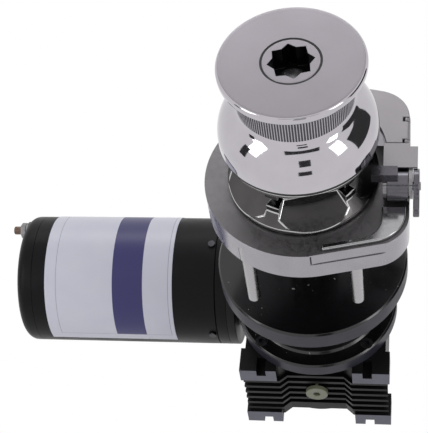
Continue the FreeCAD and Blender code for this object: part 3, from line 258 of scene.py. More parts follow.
def alone(piece):
    """Selects one piece only, so that an operator acts on nothing else."""
    bpy.ops.object.select_all(action="DESELECT")
    piece.select_set(True)
    bpy.context.view_layer.objects.active = piece


def round_edges(piece, width, steps, sharp, merge, flat, **settings):
    """Merges a piece's seams, joins flat faces, and rounds edges sharper than sharp by width mm."""
    bpy.ops.object.mode_set(mode="EDIT")
    bpy.ops.mesh.select_all(action="SELECT")
    bpy.ops.mesh.remove_doubles(threshold=merge)
    bpy.ops.mesh.dissolve_limited(angle_limit=math.radians(flat))
    bpy.ops.object.mode_set(mode="OBJECT")
    bevel = piece.modifiers.new("rounded", "BEVEL")
    bevel.width = width / 1000.0
    bevel.segments = steps
    bevel.limit_method = "ANGLE"
    bevel.angle_limit = math.radians(sharp)
    for name, value in settings.items():
        setattr(bevel, name, value)
    bpy.ops.object.modifier_apply(modifier="rounded")


def shade_evenly(piece):
    """Shades the rounded edges smooth, and keeps each level face one tone."""
    bpy.ops.object.shade_smooth_by_angle(angle=math.radians(38.0))
    even = piece.modifiers.new("even", "WEIGHTED_NORMAL")
    even.keep_sharp = True
    bpy.ops.object.modifier_apply(modifier="even")


# A face counts as level when the upward part of its normal is more than this.
level = 0.97


def eased(node, name, slot, side, top=None, width=0.4, steps=2):
    """A copy of a CAD node with edges rounded by width mm; its level tops may have a finish, top."""
    alone(frame["nodes"][node])
    bpy.ops.object.duplicate()
    piece = bpy.context.object
    piece.name = name
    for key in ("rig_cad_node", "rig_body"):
        del piece[key]
    piece.data.materials.clear()
    piece.data.materials.append(side)
    round_edges(piece, width, steps, 32.0, merge=0.000004, flat=1.0)
    for face in piece.data.polygons:
        face.material_index = 0
    if top:
        piece.data.materials.append(top)
        for face in piece.data.polygons:
            if face.normal.z > level:
                face.material_index = 1
    shade_evenly(piece)
    return hang_on(piece, slot, node)


# Satin enamel over rough castings: nearly black, with a faint grey bloom of dust.
case_paint = painted("satin_black_enamel_on_cast_aluminium", "070708", 0.42, 0.9, 0.14, dust_and_sheen=0.05,
                     shine=0.2)
# The front faces of the feet are painted a greyer, duller coat with a pale bloom: a painted sheen, for
# the pale floor they reflect.
front_face_painted_sheen = painted("black_enamel_with_painted_front_sheen", "545463", 0.45, 0.7, 0.16,
                     dust_and_sheen_code="8E8D98", dust_and_sheen=0.5)
case = eased("gearbox_housing", "gearbox_case", "black_housing_paint", case_paint, width=1.1,
             steps=3)
case.data.materials.append(front_face_painted_sheen)
foot_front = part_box("gearbox_housing")[0].y
foot_skin = 0.001
# The faces at the case's very front get the painted sheen.
for face in case.data.polygons:
    if face.normal.y < -0.9 and face.center.y < foot_front + foot_skin:
        face.material_index = 1
for name in ("bottom_cover", "worm_end_cap", "input_flange"):
    eased(name, name + "_eased", "black_housing_paint", case_paint, width=0.5)

# The oil plug: nylon, moulded in pale yellow-green, with darker patches that drift over it at random.
plug_nylon, tree = new_tree("pale_green_moulded_nylon")
place = add_node(tree, "ShaderNodeTexCoord")
tone_patch_mm = 3.8462
film = add_node(tree, "ShaderNodeTexNoise", Vector=place.outputs["Object"],
                Scale=1000.0 / tone_patch_mm, Detail=4.0)
tint = add_node(tree, "ShaderNodeMix", {"data_type": "RGBA"}, _0=film.outputs["Fac"],
                _6=linear("848573"), _7=linear("636551"))
shader = add_node(tree, "ShaderNodeBsdfPrincipled", Base_Color=tint.outputs[2], Roughness=0.38,
                  IOR=1.53)
add_node(tree, "ShaderNodeOutputMaterial", Surface=shader.outputs[0])
eased("oil_plug", "oil_plug_eased", "plug_plastic", plug_nylon, width=0.35)


# --- Motor ----------------------------------------------------------------------------------
# A drawn steel can with a round-shouldered end cap and a front bell, in baked satin black.
# Four small black screws hold the bell, and one terminal stud stands out of the far end.

motor_centre = Vector((0.0, 0.043, -0.1583))
motor_radius = 45.5
# Baked enamel on smooth steel: almost black, with soft long highlights.
motor_enamel = painted("baked_black_enamel_on_steel", "0A0A0D", 0.40, 0.5, 0.03, shine=0.14)


def arc(centre, radius, first, last, count=10):
    """Points on a circle round centre, from one angle to another in degrees."""
    turns = [math.radians(first + (last - first) * step / count) for step in range(count + 1)]
    return [(centre[0] + radius * math.cos(t), centre[1] + radius * math.sin(t)) for t in turns]


def turned(name, points, steps, along="Z", centre=Vector((0, 0, 0)), sweep=360.0, first=0.0,
           closed=True):
    """Spins an outline of (radius, height) points in mm round an axis, as a lathe turns a bar."""
    def at(radius, height):
        if along == "Z":
            return centre + Vector((radius / 1000.0, 0, height / 1000.0))
        turn = math.radians(first)
        across, up = -radius / 1000.0 * math.cos(turn), radius / 1000.0 * math.sin(turn)
        return centre + Vector((height / 1000.0, across, up))

    spots = [at(*point) for point in points]
    bpy.ops.object.select_all(action="DESELECT")
    bpy.ops.mesh.primitive_plane_add(size=0.001, location=(0, 0, 0))
    piece = bpy.context.object
    piece.name = name
    bpy.ops.object.mode_set(mode="EDIT")
    bpy.ops.mesh.select_all(action="SELECT")
    bpy.ops.mesh.merge(type="CENTER")
    bpy.ops.transform.translate(value=spots[0])
    for before, after in zip(spots, spots[1:] + (spots[:1] if closed else [])):
        bpy.ops.mesh.extrude_vertices_move(TRANSFORM_OT_translate={"value": after - before})
    bpy.ops.mesh.select_all(action="SELECT")
    bpy.ops.mesh.remove_doubles(threshold=0.000002)
    bpy.ops.mesh.select_all(action="SELECT")
    axis = (0, 0, 1) if along == "Z" else (1, 0, 0)
    bpy.ops.mesh.spin(steps=steps, angle=math.radians(sweep), center=centre, axis=axis)
    bpy.ops.mesh.select_all(action="SELECT")
    bpy.ops.mesh.remove_doubles(threshold=0.000002)
    if abs(sweep) < 360.0:
        bpy.ops.mesh.select_all(action="DESELECT")
        bpy.ops.mesh.select_mode(type="EDGE")
        bpy.ops.mesh.select_non_manifold()
        bpy.ops.mesh.edge_face_add()
        bpy.ops.mesh.select_mode(type="VERT")
    bpy.ops.mesh.select_all(action="SELECT")
    bpy.ops.mesh.normals_make_consistent(inside=False)
    bpy.ops.object.mode_set(mode="OBJECT")
    bpy.ops.object.shade_smooth_by_angle(angle=math.radians(35.0))
    return piece


def finished(piece, *materials):
    """Gives a new piece its finish."""
    for made in materials:
        piece.data.materials.append(made)
    return piece


shoulder = 7.0
cap_end, cap_seam = -216.9, -205.0
cap_outline = [(0.0, cap_end)]
cap_outline += arc((motor_radius - shoulder, cap_end + shoulder), shoulder, -90, 0, 9)
cap_outline += [(motor_radius, cap_seam - 0.5), (motor_radius - 0.4, cap_seam), (0.0, cap_seam)]
cap = turned("motor_end_cap_round", cap_outline, 128, "X", motor_centre, closed=False)
hang_on(finished(cap, motor_enamel), "black_motor_paint", "motor_end_cap")
eased("motor_front_bell", "motor_front_bell_eased", "black_motor_paint", motor_enamel, width=0.6)
eased("motor_can", "motor_can_eased", "black_motor_paint", motor_enamel, width=0.35)


def bare_metal(name, code, rough, wave_mm=6.0, wave_depth=0.02, scratch=0.3, drift_mm=14.0,
               dark=0.8):
    """Bare metal: slow waves left by polishing, a rubbed gloss, and a colour that drifts a little."""
    # Real scratches are far finer: these patches of gloss are drawn wide enough to show.
    scratch_mm = 2.5
    made, tree = new_tree(name)
    place = add_node(tree, "ShaderNodeTexCoord")
    wave = add_node(tree, "ShaderNodeTexNoise", Vector=place.outputs["Object"],
                    Scale=1000.0 / wave_mm, Detail=1.0)
    lines = add_node(tree, "ShaderNodeTexNoise", Vector=place.outputs["Object"],
                     Scale=1000.0 / scratch_mm, Detail=3.0, Roughness=0.7)
    drift = add_node(tree, "ShaderNodeTexNoise", Vector=place.outputs["Object"],
                     Scale=1000.0 / drift_mm, Detail=3.0)
    low = tuple(part * dark for part in linear(code)[:3]) + (1.0,)
    tint = add_node(tree, "ShaderNodeMix", {"data_type": "RGBA"}, _0=drift.outputs["Fac"],
                    _6=linear(code), _7=low)
    worn = add_node(tree, "ShaderNodeMapRange", Value=lines.outputs["Fac"], From_Min=0.3, From_Max=0.7,
                    To_Min=rough * (1 - scratch), To_Max=rough * (1 + scratch))
    bump = add_node(tree, "ShaderNodeBump", Strength=0.5, Distance=wave_depth / 1000.0,
                    Height=wave.outputs["Fac"])
    shader = add_node(tree, "ShaderNodeBsdfPrincipled", Base_Color=tint.outputs[2], Metallic=1.0,
                      Roughness=worn.outputs[0], Normal=bump.outputs[0])
    add_node(tree, "ShaderNodeOutputMaterial", Surface=shader.outputs[0])
    return made


# Black oxide on small screws: a dark grey with a dull shine.
black_oxide = bare_metal("black_oxide_on_steel", "4C4C50", 0.42, wave_mm=1.0)
eased("motor_screws", "motor_screws_eased", "bright_steel", black_oxide, width=0.3)

# Zinc on the nuts and washer, and dull brown copper on the stud between them.
zinc_steel = bare_metal("dulled_zinc_on_steel", "8E8E90", 0.34, wave_mm=2.0, drift_mm=3.0, dark=0.6)
eased("terminal_nuts", "terminal_nuts_eased", "bright_steel", zinc_steel, width=0.3)
stud_copper = bare_metal("tarnished_copper", "776459", 0.42, wave_mm=1.5, drift_mm=3.0, dark=0.55)
eased("terminal_stud", "terminal_stud_eased", "copper", stud_copper, width=0.3)
# The insulating washer: grey nylon with the dull skin of its mould.
grey_nylon = painted("grey_moulded_nylon", "55524C", 0.45, 0.6, 0.02)
eased("terminal_insulator", "terminal_insulator_eased", "insulator_plastic", grey_nylon, width=0.3)


# --- Motor wrap -----------------------------------------------------------------------------
# A vinyl film round the can, stuck on by its back: white with a thin border and one blue band.
# It is left bare of lettering.

wrap_low, wrap_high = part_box("motor_label")
wrap_first = -13.0
wrap_sweep = 200.0
film_under, film_over = motor_radius + 0.03, motor_radius + 0.3
wrap_film = ((film_under, wrap_low.x * 1000), (film_over, wrap_low.x * 1000),
             (film_over, wrap_high.x * 1000), (film_under, wrap_high.x * 1000))
wrap = turned("motor_wrap", wrap_film, 96, "X", motor_centre, wrap_sweep, wrap_first)
# Where the band and the thin border lie along the motor, in metres, and where the print starts and
# ends round it, in radians up from the front.
band_left, band_right = -0.1462, -0.1244
border_left, border_right, border_half = -0.18715, -0.10615, 0.0002
print_first, print_last, low_half = -0.055, 3.05, 0.004
# Vinyl: a smooth, half-gloss skin that ripples a little where air is trapped under it.
wrap_vinyl, tree = new_tree("printed_white_vinyl")
place = add_node(tree, "ShaderNodeTexCoord")
split = add_node(tree, "ShaderNodeSeparateXYZ", Vector=place.outputs["Object"])


def between(tree, value, low, high, soft=0.0001):
    """One from low to high and zero outside, with a soft edge."""
    up = add_node(tree, "ShaderNodeMapRange", Value=value, From_Min=low - soft, From_Max=low + soft)
    down = add_node(tree, "ShaderNodeMapRange", Value=value, From_Min=high - soft, From_Max=high + soft,
                    To_Min=1.0, To_Max=0.0)
    return add_node(tree, "ShaderNodeMath", {"operation": "MULTIPLY"}, _0=up.outputs[0],
                    _1=down.outputs[0]).outputs[0]


ripple_mm = 16.667
grain = add_node(tree, "ShaderNodeTexNoise", Vector=place.outputs["Object"],
                 Scale=1000.0 / ripple_mm, Detail=5.0)
paper = add_node(tree, "ShaderNodeMix", {"data_type": "RGBA"}, _0=grain.outputs["Fac"],
                 _6=linear("E4E4F0"), _7=linear("D8DAEA"))
front = add_node(tree, "ShaderNodeMath", {"operation": "SUBTRACT"}, _0=motor_centre.y,
                 _1=split.outputs["Y"])
drop = add_node(tree, "ShaderNodeMath", {"operation": "SUBTRACT"}, _0=split.outputs["Z"],
                _1=motor_centre.z)
turn = add_node(tree, "ShaderNodeMath", {"operation": "ARCTAN2"}, _0=drop.outputs[0],
                _1=front.outputs[0])
band = between(tree, split.outputs["X"], band_left, band_right)
printed = between(tree, turn.outputs[0], print_first, print_last, 0.001)
band_on = add_node(tree, "ShaderNodeMath", {"operation": "MULTIPLY"}, _0=band, _1=printed)
left_line = between(tree, split.outputs["X"], border_left - border_half, border_left + border_half)
right_line = between(tree, split.outputs["X"], border_right - border_half,
                     border_right + border_half)
low_line = between(tree, turn.outputs[0], print_first - low_half, print_first + low_half, 0.002)
inside = between(tree, split.outputs["X"], border_left - border_half, border_right + border_half)
low_part = add_node(tree, "ShaderNodeMath", {"operation": "MULTIPLY"}, _0=low_line, _1=inside)
sides = add_node(tree, "ShaderNodeMath", {"operation": "MAXIMUM"}, _0=left_line, _1=right_line)
sides_on = add_node(tree, "ShaderNodeMath", {"operation": "MULTIPLY"}, _0=sides.outputs[0],
                    _1=printed)
border = add_node(tree, "ShaderNodeMath", {"operation": "MAXIMUM"}, _0=sides_on.outputs[0],
                  _1=low_part.outputs[0])
thin = add_node(tree, "ShaderNodeMath", {"operation": "MULTIPLY"}, _0=border.outputs[0], _1=0.6)
lined = add_node(tree, "ShaderNodeMix", {"data_type": "RGBA"}, _0=thin.outputs[0],
                 _6=paper.outputs[2], _7=linear("6E6F80"))
banded = add_node(tree, "ShaderNodeMix", {"data_type": "RGBA"}, _0=band_on.outputs[0],
                  _6=lined.outputs[2], _7=linear("302C6A"))
ripple = add_node(tree, "ShaderNodeBump", Strength=0.3, Distance=0.00005,
                  Height=grain.outputs["Fac"])
shader = add_node(tree, "ShaderNodeBsdfPrincipled", Base_Color=banded.outputs[2], Roughness=0.36,
                  IOR=1.5, Normal=ripple.outputs[0])
add_node(tree, "ShaderNodeOutputMaterial", Surface=shader.outputs[0])
hang_on(finished(wrap, wrap_vinyl), "label_film", "motor_label")


# --- Spool and tube below the deck ------------------------------------------------------------
# One turned aluminium spool, black anodised and buffed until it mirrors the room: a wide disc, a
# neck, and a ring with four sunk screws into the gearbox. The tube above it carries the base.

# Gloss black, with a few pale chips and dust specks a millimetre or less across, in loose groups.
chip_mm = 3.4483
group_mm = 26.316
spool_black, tree = new_tree("gloss_black_anodised_aluminium")
place = add_node(tree, "ShaderNodeTexCoord")
chips = add_node(tree, "ShaderNodeTexNoise", Vector=place.outputs["Object"], Scale=1000.0 / chip_mm,
                 Detail=3.0, Roughness=0.6)
zones = add_node(tree, "ShaderNodeTexNoise", Vector=place.outputs["Object"],
                 Scale=1000.0 / group_mm, Detail=2.0)
chip_on = add_node(tree, "ShaderNodeMapRange", Value=chips.outputs["Fac"], From_Min=0.69,
                   From_Max=0.71)
zone_on = add_node(tree, "ShaderNodeMapRange", Value=zones.outputs["Fac"], From_Min=0.48,
                   From_Max=0.54)
chipped = add_node(tree, "ShaderNodeMath", {"operation": "MULTIPLY"}, _0=chip_on.outputs[0],
                   _1=zone_on.outputs[0])
colour = add_node(tree, "ShaderNodeMix", {"data_type": "RGBA"}, _0=chipped.outputs[0],
                  _6=linear("0B0B0D"), _7=linear("B4B4AE"))
worn = add_node(tree, "ShaderNodeMapRange", Value=zones.outputs["Fac"], From_Min=0.3, From_Max=0.7,
                To_Min=0.14, To_Max=0.26)
shader = add_node(tree, "ShaderNodeBsdfPrincipled", Base_Color=colour.outputs[2],
                  Roughness=worn.outputs[0], IOR=1.5, Coat_Weight=0.2, Coat_Roughness=0.1)
add_node(tree, "ShaderNodeOutputMaterial", Surface=shader.outputs[0])
# The turned rims are duller, and painted a blue-grey black with a paler bloom: a painted sheen, for the
# light that rakes over their lathe marks.
rim_painted_sheen = painted("turned_black_anodised_aluminium_painted_sheen", "2B2B35", 0.45, 0.4, 0.02,
                    dust_and_sheen_code="5A5A66", dust_and_sheen=0.25, shine=0.25)
spool = eased("mounting_flange", "spool", "black_anodised", spool_black, width=0.5)
spool.data.materials.append(rim_painted_sheen)
# The side faces of the rims get the painted sheen.
rim_start = 0.0525
for face in spool.data.polygons:
    if face.center.xy.length > rim_start and abs(face.normal.z) < 0.4:
        face.material_index = 1
plain_slots("stand_off_tube", spool_black)

# The screws stand in a square, and their heads lie level with the ring's top.
screw_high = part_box("flange_screws")[1]
ring_top = -0.1135
head_radius = 0.0042
screw_place = (screw_high.x - head_radius, screw_high.y - head_radius)
sunk_outline = [(0.0, -4.0), (2.2, -4.0), (2.2, -2.4), (4.1, -0.2), (4.1, 0.1), (2.0, 0.1),
                (2.0, -1.8), (0.0, -1.8)]
sunk = turned("sunk_screw", sunk_outline, 48, closed=False)
finished(sunk, black_oxide)
sunk_set = []
for across, back in ((1, 1), (1, -1), (-1, 1), (-1, -1)):
    alone(sunk)
    bpy.ops.object.duplicate()
    one = bpy.context.object
    one.data.transform(Matrix.Translation((screw_place[0] * across, screw_place[1] * back, ring_top)))
    sunk_set.append(one)
bpy.data.objects.remove(sunk)
bpy.ops.object.select_all(action="DESELECT")
for one in sunk_set:
    one.select_set(True)
bpy.context.view_layer.objects.active = sunk_set[0]
bpy.ops.object.join()
flange_set = bpy.context.object
flange_set.name = "sunk_flange_screws"
hang_on(flange_set, "bright_steel", "flange_screws")


# --- Deck base ------------------------------------------------------------------------------
# Investment-cast stainless steel: the top is blasted to a flat grey, the tall rim is polished.
# Four studs screwed into it go down through the deck.

# Blasting leaves a flat grey with no reflections; polishing leaves slow waves that bend them.
blasted_steel = bare_metal("blasted_stainless_steel", "7A787A", 0.46, wave_mm=1.2, wave_depth=0.03,
                           scratch=0.2, dark=0.7)
rim_steel = bare_metal("polished_stainless_steel_rim", "A09DA3", 0.2, wave_mm=16.0, wave_depth=0.10,
                       scratch=0.5, dark=0.8)
# A short dark line is painted on the rim's front: a painted shadow, for the shade in the small step
# where the rim's facet starts. Its sides are in metres.
step_shadow_left, step_shadow_right = 0.0072, 0.0080
step_shadow_front, step_shadow_back = -0.0700, -0.0400
step_shadow_low, step_shadow_high = 0.0125, 0.0200
rim_steel_with_step_shadow = rim_steel.copy()
rim_steel_with_step_shadow.name = "polished_stainless_steel_with_painted_step_shadow"
tree = rim_steel_with_step_shadow.node_tree
shader = next(made for made in tree.nodes if made.type == "BSDF_PRINCIPLED")
under = shader.inputs["Base Color"].links[0].from_socket
place = add_node(tree, "ShaderNodeTexCoord")
split = add_node(tree, "ShaderNodeSeparateXYZ", Vector=place.outputs["Object"])
# The painted step shadow: a dark line on the front of the rim.
narrow = between(tree, split.outputs["X"], step_shadow_left, step_shadow_right)
ahead = between(tree, split.outputs["Y"], step_shadow_front, step_shadow_back)
tall = between(tree, split.outputs["Z"], step_shadow_low, step_shadow_high)
line = add_node(tree, "ShaderNodeMath", {"operation": "MULTIPLY"}, _0=narrow, _1=ahead)
step_shadow_on = add_node(tree, "ShaderNodeMath", {"operation": "MULTIPLY"}, _0=line.outputs[0], _1=tall)
step_shadowed = add_node(tree, "ShaderNodeMix", {"data_type": "RGBA"}, _0=step_shadow_on.outputs[0], _6=under,
                  _7=linear("1A191B"))
tree.links.new(step_shadowed.outputs[2], shader.inputs["Base Color"])
base = eased("base_plate", "base_plate_eased", "satin_stainless", rim_steel_with_step_shadow, width=0.35)
base.data.materials.append(blasted_steel)
# The CAD's chain pipe is straight. Here its lower mouth is moved towards the middle, so that the
# floor doesn't show through it.
pipe_mouth = Vector((0.046, 0.035))
pipe_reach = 0.0128
pipe_lean = 0.0075
underside = 0.0008
alone(base)
for part in (*base.data.edges, *base.data.polygons):
    part.select = False
for vertex in base.data.vertices:
    vertex.select = vertex.co.z < underside and (vertex.co.xy - pipe_mouth).length < pipe_reach
bpy.ops.object.mode_set(mode="EDIT")
bpy.ops.mesh.select_mode(type="VERT")
bpy.ops.transform.translate(value=(0, -pipe_lean, 0))
bpy.ops.object.mode_set(mode="OBJECT")
for face in base.data.polygons:
    if face.normal.z > level and face.center.z > underside:
        face.material_index = 1
# The studs: drawn rod with a soft, even shine.
stud_steel = bare_metal("drawn_stainless_steel_rod", "A9A7A9", 0.26, wave_mm=20.0, wave_depth=0.01,
                        scratch=0.1, dark=0.85)
eased("deck_studs", "deck_studs_eased", "bright_steel", stud_steel, width=0.3)


# --- Chain guide, box, lid, finger and lever --------------------------------------------------
# Cast and folded stainless steel, screwed to the base from below. The level tops are linished, a
# soft grey; the sides and the guide are buffed bright, and the round finger on its pin and the lever
# are a darker grey, a painted shade.

# Linishing gives an even soft grey; buffing, a shine that is darker on the box, which is handled and
# salted, and bright on the guide, which the chain rubs. The finger and lever are painted a darker grey
# still: a painted shade, for the shadow they sit in and reflect.
linished_steel = bare_metal("linished_stainless_steel", "8D8A8D", 0.36, wave_mm=3.0,
                            wave_depth=0.01, scratch=0.15, dark=0.9)
buffed_steel = bare_metal("buffed_stainless_steel", "89878B", 0.17, wave_mm=9.0, wave_depth=0.06,
                          scratch=0.4, dark=0.7)
lever_steel_painted_shade = bare_metal("polished_stainless_steel_painted_shade", "6C6A70", 0.22, wave_mm=5.0,
                         wave_depth=0.05, dark=0.6)
guide_steel = bare_metal("bright_polished_stainless_steel", "ADACAE", 0.16, wave_mm=14.0,
                         wave_depth=0.12, scratch=0.4, dark=0.8)
eased("chain_guide", "chain_guide_eased", "satin_stainless", guide_steel, width=0.8, steps=3)
eased("hawse_box", "hawse_box_eased", "satin_stainless", buffed_steel, width=0.6)
eased("hawse_cover", "hawse_cover_eased", "satin_stainless", buffed_steel, linished_steel,
      width=0.9, steps=3)
eased("finger_bracket", "finger_bracket_eased", "satin_stainless", buffed_steel, linished_steel,
      width=0.6)
eased("chain_stripper", "chain_stripper_eased", "satin_stainless", buffed_steel, width=0.5)
# The finger and the lever get the darker grey, the painted shade.
eased("pressure_finger", "pressure_finger_eased", "polished_chrome", lever_steel_painted_shade, width=0.5,
      steps=3)
eased("release_lever", "release_lever_eased", "satin_stainless", lever_steel_painted_shade, width=1.0, steps=3)
for name in ("finger_pin", "cover_hinge_pin"):
    eased(name, name + "_eased", "bright_steel", buffed_steel, width=0.25)


# --- Chain wheel ------------------------------------------------------------------------------
# The gypsy is one stainless casting with five pockets for the chain links, cut here by five wedges
# that widen outwards. Its faces are ground satin and painted dark, a painted shade, and its edges have
# worn bright.

# Ground faces, painted dark: a painted shade, for faces that mostly look at each other and the base.
# The waves bend their reflections.
pocket_steel_painted_shade = bare_metal("ground_stainless_steel_painted_shade", "5B5959", 0.18, wave_mm=12.0, wave_depth=0.15,
                          scratch=0.3, dark=0.6)
gypsy_outline = [(28.0, 22.2), (44.7, 22.2), (45.5, 23.0), (45.5, 25.2), (39.5, 33.0), (39.5, 37.3),
                 (22.9, 37.3), (19.0, 41.2), (22.9, 45.1), (39.5, 45.1), (39.5, 49.4), (45.5, 57.2),
                 (45.5, 59.4), (44.7, 60.2), (28.0, 60.2), (22.0, 48.2), (13.5, 48.2), (13.5, 34.2),
                 (22.0, 34.2)]
gypsy = turned("chain_gypsy", gypsy_outline, 120)
pocket_floor, pocket_mouth = 0.0270, 0.0475
floor_half = (0.01575, 0.0052)
mouth_half = (0.0262, 0.0186)
gypsy_middle = 0.0412
pocket_count = 5
first_pocket = 14.0
middle = (pocket_floor + pocket_mouth) / 2
for pocket in range(pocket_count):
    bpy.ops.object.select_all(action="DESELECT")
    bpy.ops.mesh.primitive_cube_add(size=1.0, location=(0, -middle, gypsy_middle))
    cutter = bpy.context.object
    cutter.scale = (floor_half[0] * 2, pocket_mouth - pocket_floor, floor_half[1] * 2)
    bpy.ops.object.transform_apply(location=True, rotation=False, scale=True)
    for vertex in cutter.data.vertices:
        if vertex.co.y < -middle:
            vertex.co.x *= mouth_half[0] / floor_half[0]
            vertex.co.z = gypsy_middle + (vertex.co.z - gypsy_middle) * mouth_half[1] / floor_half[1]
    pocket_turn = math.radians(first_pocket + 360.0 / pocket_count * pocket)
    cutter.data.transform(Matrix.Rotation(pocket_turn, 4, "Z"))
    cut = gypsy.modifiers.new("pocket", "BOOLEAN")
    cut.operation = "DIFFERENCE"
    cut.solver = "EXACT"
    cut.object = cutter
    alone(gypsy)
    bpy.ops.object.modifier_apply(modifier="pocket")
    bpy.data.objects.remove(cutter)

# The chain has rubbed the edges bright.
worn_edge = bare_metal("chain_worn_stainless_steel", "C5C4C5", 0.16, wave_mm=8.0, wave_depth=0.05,
                       scratch=0.3, dark=0.85)
# The gypsy's faces get the painted shade; its rounded edges get the bright worn steel.
finished(gypsy, pocket_steel_painted_shade, worn_edge)
round_edges(gypsy, 0.6, 2, 25.0, merge=0.00002, flat=0.5, material=1, use_clamp_overlap=False)
shade_evenly(gypsy)
hang_on(gypsy, "polished_chrome", "gypsy")


# --- Drum -------------------------------------------------------------------------------------
# The warping drum is turned from stainless steel. Its top is faced flat, its waist is knurled
# with straight ribs that grip a rope, and its bell is polished to a mirror.

waist = 33.5
waist_low, waist_high = 92.7, 112.3
# The real ribs are a little finer, about 160 of them: these are coarser, so that they show.
rib_count = 132
steps_a_rib = 3
rib_depth = 0.55
flare_radius = 5.863
swell_radius = 25.33
drum_outline = [(17.45, 93.5), (10.05, 93.5), (10.05, 65.2), (28.2, 65.2), (28.2, 62.2),
                (46.0, 62.2), (46.8, 63.0)]
drum_outline += arc((46.8 - swell_radius, 66.95), swell_radius, 0, 55, 16)
drum_outline += arc((waist + flare_radius, 92.5), flare_radius, 235, 180, 6)
drum_outline += [(waist, height) for height in (waist_low, 92.9, 99.0, 105.0, 112.0, waist_high)]
drum_outline += arc((waist + 3.5, 112.5), 3.5, 180, 95, 6)
drum_outline += arc((40.2, 117.8), 1.8, -80, 0, 6) + arc((40.2, 119.7), 1.8, 0, 88, 6)
drum_outline += [(39.6, 121.5), (17.45, 121.5)]
drum = turned("warping_drum", drum_outline, rib_count * steps_a_rib)
step_angle = 2 * math.pi / (rib_count * steps_a_rib)
drum_mesh = drum.data
rib_low, rib_high = waist_low / 1000.0, waist_high / 1000.0
alone(drum)
for vertex in drum_mesh.vertices:
    place = vertex.co
    on_waist = (abs(place.xy.length - waist / 1000) < 0.00005
                and rib_low + 0.0001 < place.z < rib_high - 0.0002)
    turn_step = round(math.atan2(place.y, place.x) / step_angle)
    vertex.select = on_waist and turn_step % steps_a_rib == 0
for edge in drum_mesh.edges:
    edge.select = False
for face in drum_mesh.polygons:
    face.select = False
bpy.ops.object.mode_set(mode="EDIT")
bpy.ops.mesh.select_mode(type="VERT")
shrink = 1.0 - rib_depth / waist
bpy.ops.transform.resize(value=(shrink, shrink, 1.0), center_override=(0, 0, 0))
bpy.ops.object.mode_set(mode="OBJECT")
# The bell: a mirror with slow waves in it, so what it shows is bent.
mirror_steel = bare_metal("mirror_polished_stainless_steel", "C0BCC2", 0.06, wave_mm=24.0,
                          wave_depth=0.16, scratch=0.5, dark=0.85)
# The faced top: turning rings half a millimetre apart spread the light, so it stays a flat grey.
ring_mm = 0.55556
cloud_mm = 33.333
faced_steel, tree = new_tree("lathe_faced_stainless_steel")
place = add_node(tree, "ShaderNodeTexCoord")
flat = add_node(tree, "ShaderNodeVectorMath", {"operation": "MULTIPLY"}, _0=place.outputs["Object"],
                _1=(1.0, 1.0, 0.0))
reach = add_node(tree, "ShaderNodeVectorMath", {"operation": "LENGTH"}, _0=flat.outputs[0])
rings = add_node(tree, "ShaderNodeTexNoise", {"noise_dimensions": "1D"}, W=reach.outputs["Value"],
                 Scale=1000.0 / ring_mm, Detail=2.0)
cloud = add_node(tree, "ShaderNodeTexNoise", Vector=place.outputs["Object"],
                 Scale=1000.0 / cloud_mm, Detail=4.0)
tint = add_node(tree, "ShaderNodeMix", {"data_type": "RGBA"}, _0=cloud.outputs["Fac"],
                _6=linear("938F95"), _7=linear("848085"))
worn = add_node(tree, "ShaderNodeMapRange", Value=rings.outputs["Fac"], From_Min=0.3, From_Max=0.7,
                To_Min=0.30, To_Max=0.40)
bump = add_node(tree, "ShaderNodeBump", Strength=0.25, Distance=0.00002,
                Height=rings.outputs["Fac"])
shader = add_node(tree, "ShaderNodeBsdfPrincipled", Base_Color=tint.outputs[2], Metallic=1.0,
                  Roughness=worn.outputs[0], Normal=bump.outputs[0])
add_node(tree, "ShaderNodeOutputMaterial", Surface=shader.outputs[0])
# The flanks of the ribs are painted dark, a painted shade in the grooves; only their crests are rubbed
# bright by the rope.
rib_flank_painted_shade = bare_metal("rib_flank_steel_painted_shade", "545156", 0.34, wave_mm=2.0, dark=0.6)
crest_steel = bare_metal("rope_worn_stainless_steel", "B4B1B7", 0.22, wave_mm=2.0, dark=0.8)
finished(drum, mirror_steel, faced_steel, rib_flank_painted_shade, crest_steel)
drum_top = 0.1212
flank_rise = 0.0002
# Level tops get the faced steel; on the waist, the ribs' sloping flanks get the painted shade, their
# crests the bright steel.
for face in drum_mesh.polygons:
    if face.normal.z > level and face.center.z > drum_top:
        face.material_index = 1
    elif rib_low < face.center.z < rib_high and abs(face.center.xy.length - waist / 1000.0) < 0.001:
        reaches = [drum_mesh.vertices[corner].co.xy.length for corner in face.vertices]
        face.material_index = 2 if max(reaches) - min(reaches) > flank_rise else 3
hang_on(drum, "polished_chrome", "drum")

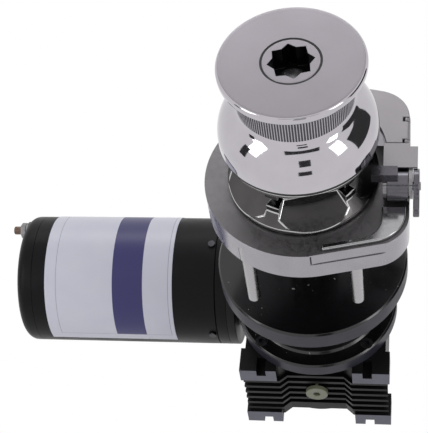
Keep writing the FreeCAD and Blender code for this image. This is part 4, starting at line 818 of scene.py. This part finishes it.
# The nut in its middle: faced like the drum on top; its sides and its eight-point socket for the handle
# are a dark grey.
socket_dark = bare_metal("dark_broached_steel", "3A393B", 0.35, wave_mm=2.0, dark=0.5)
nut = eased("clutch_nut", "clutch_nut_eased", "satin_stainless", socket_dark, width=0.25)
nut.data.materials.append(faced_steel)
nut_top = 0.121
for face in nut.data.polygons:
    if face.normal.z > 0.6 and face.center.z > nut_top:
        face.material_index = 1
# Nitrile rings: matt black, moulded.
ring_rubber = painted("black_nitrile_rubber", "090909", 0.6, 0.4, 0.02)
for name in ("drum_seal_ring", "nut_seal_ring", "shaft_seal", "output_seal"):
    plain_slots(name, ring_rubber)


# --- Shaft line, worm drive and rotor, inside -------------------------------------------------
# Ground steel shafts and bearings, a bronze wheel rim on an iron hub, and the motor's inner parts.
# They can be seen only when the case is taken away.

# Ground steel: an even, cool, half-bright grey.
ground_steel = bare_metal("ground_carbon_steel", "9C9DA0", 0.22, wave_mm=1.0, wave_depth=0.005)
for name in ("main_shaft", "wheel_key", "cone_key", "drum_key", "clutch_spring", "output_bearings",
             "worm_shaft", "worm_bearings", "shaft_coupling", "motor_shaft", "motor_bearings"):
    plain_slots(name, ground_steel)
# Bronze: a brown yellow with the shine of a fresh cut.
gear_bronze = bare_metal("machined_tin_bronze", "B98A4C", 0.26, wave_mm=1.5, wave_depth=0.008)
for name in ("wheel_rim", "deck_bush", "clutch_cone_lower", "clutch_cone_upper"):
    plain_slots(name, gear_bronze)
# Cast iron: a dull, open-grained dark grey.
cast_iron = bare_metal("machined_grey_iron", "6C6C6E", 0.45, wave_mm=1.0, wave_depth=0.02)
for name in ("wheel_hub", "armature_core"):
    plain_slots(name, cast_iron)
plain_slots("commutator", stud_copper)
# Ferrite and carbon are dull dark greys; the brush plate is brown resin with a satin skin.
plain_slots("motor_magnets", painted("sintered_ferrite", "37373A", 0.7, 0.3, 0.02))
plain_slots("brush_plate", painted("brown_phenolic_resin", "4A2C1A", 0.5, 0.6, 0.02))
plain_slots("carbon_brushes", painted("pressed_carbon", "262628", 0.6, 0.2, 0.02))
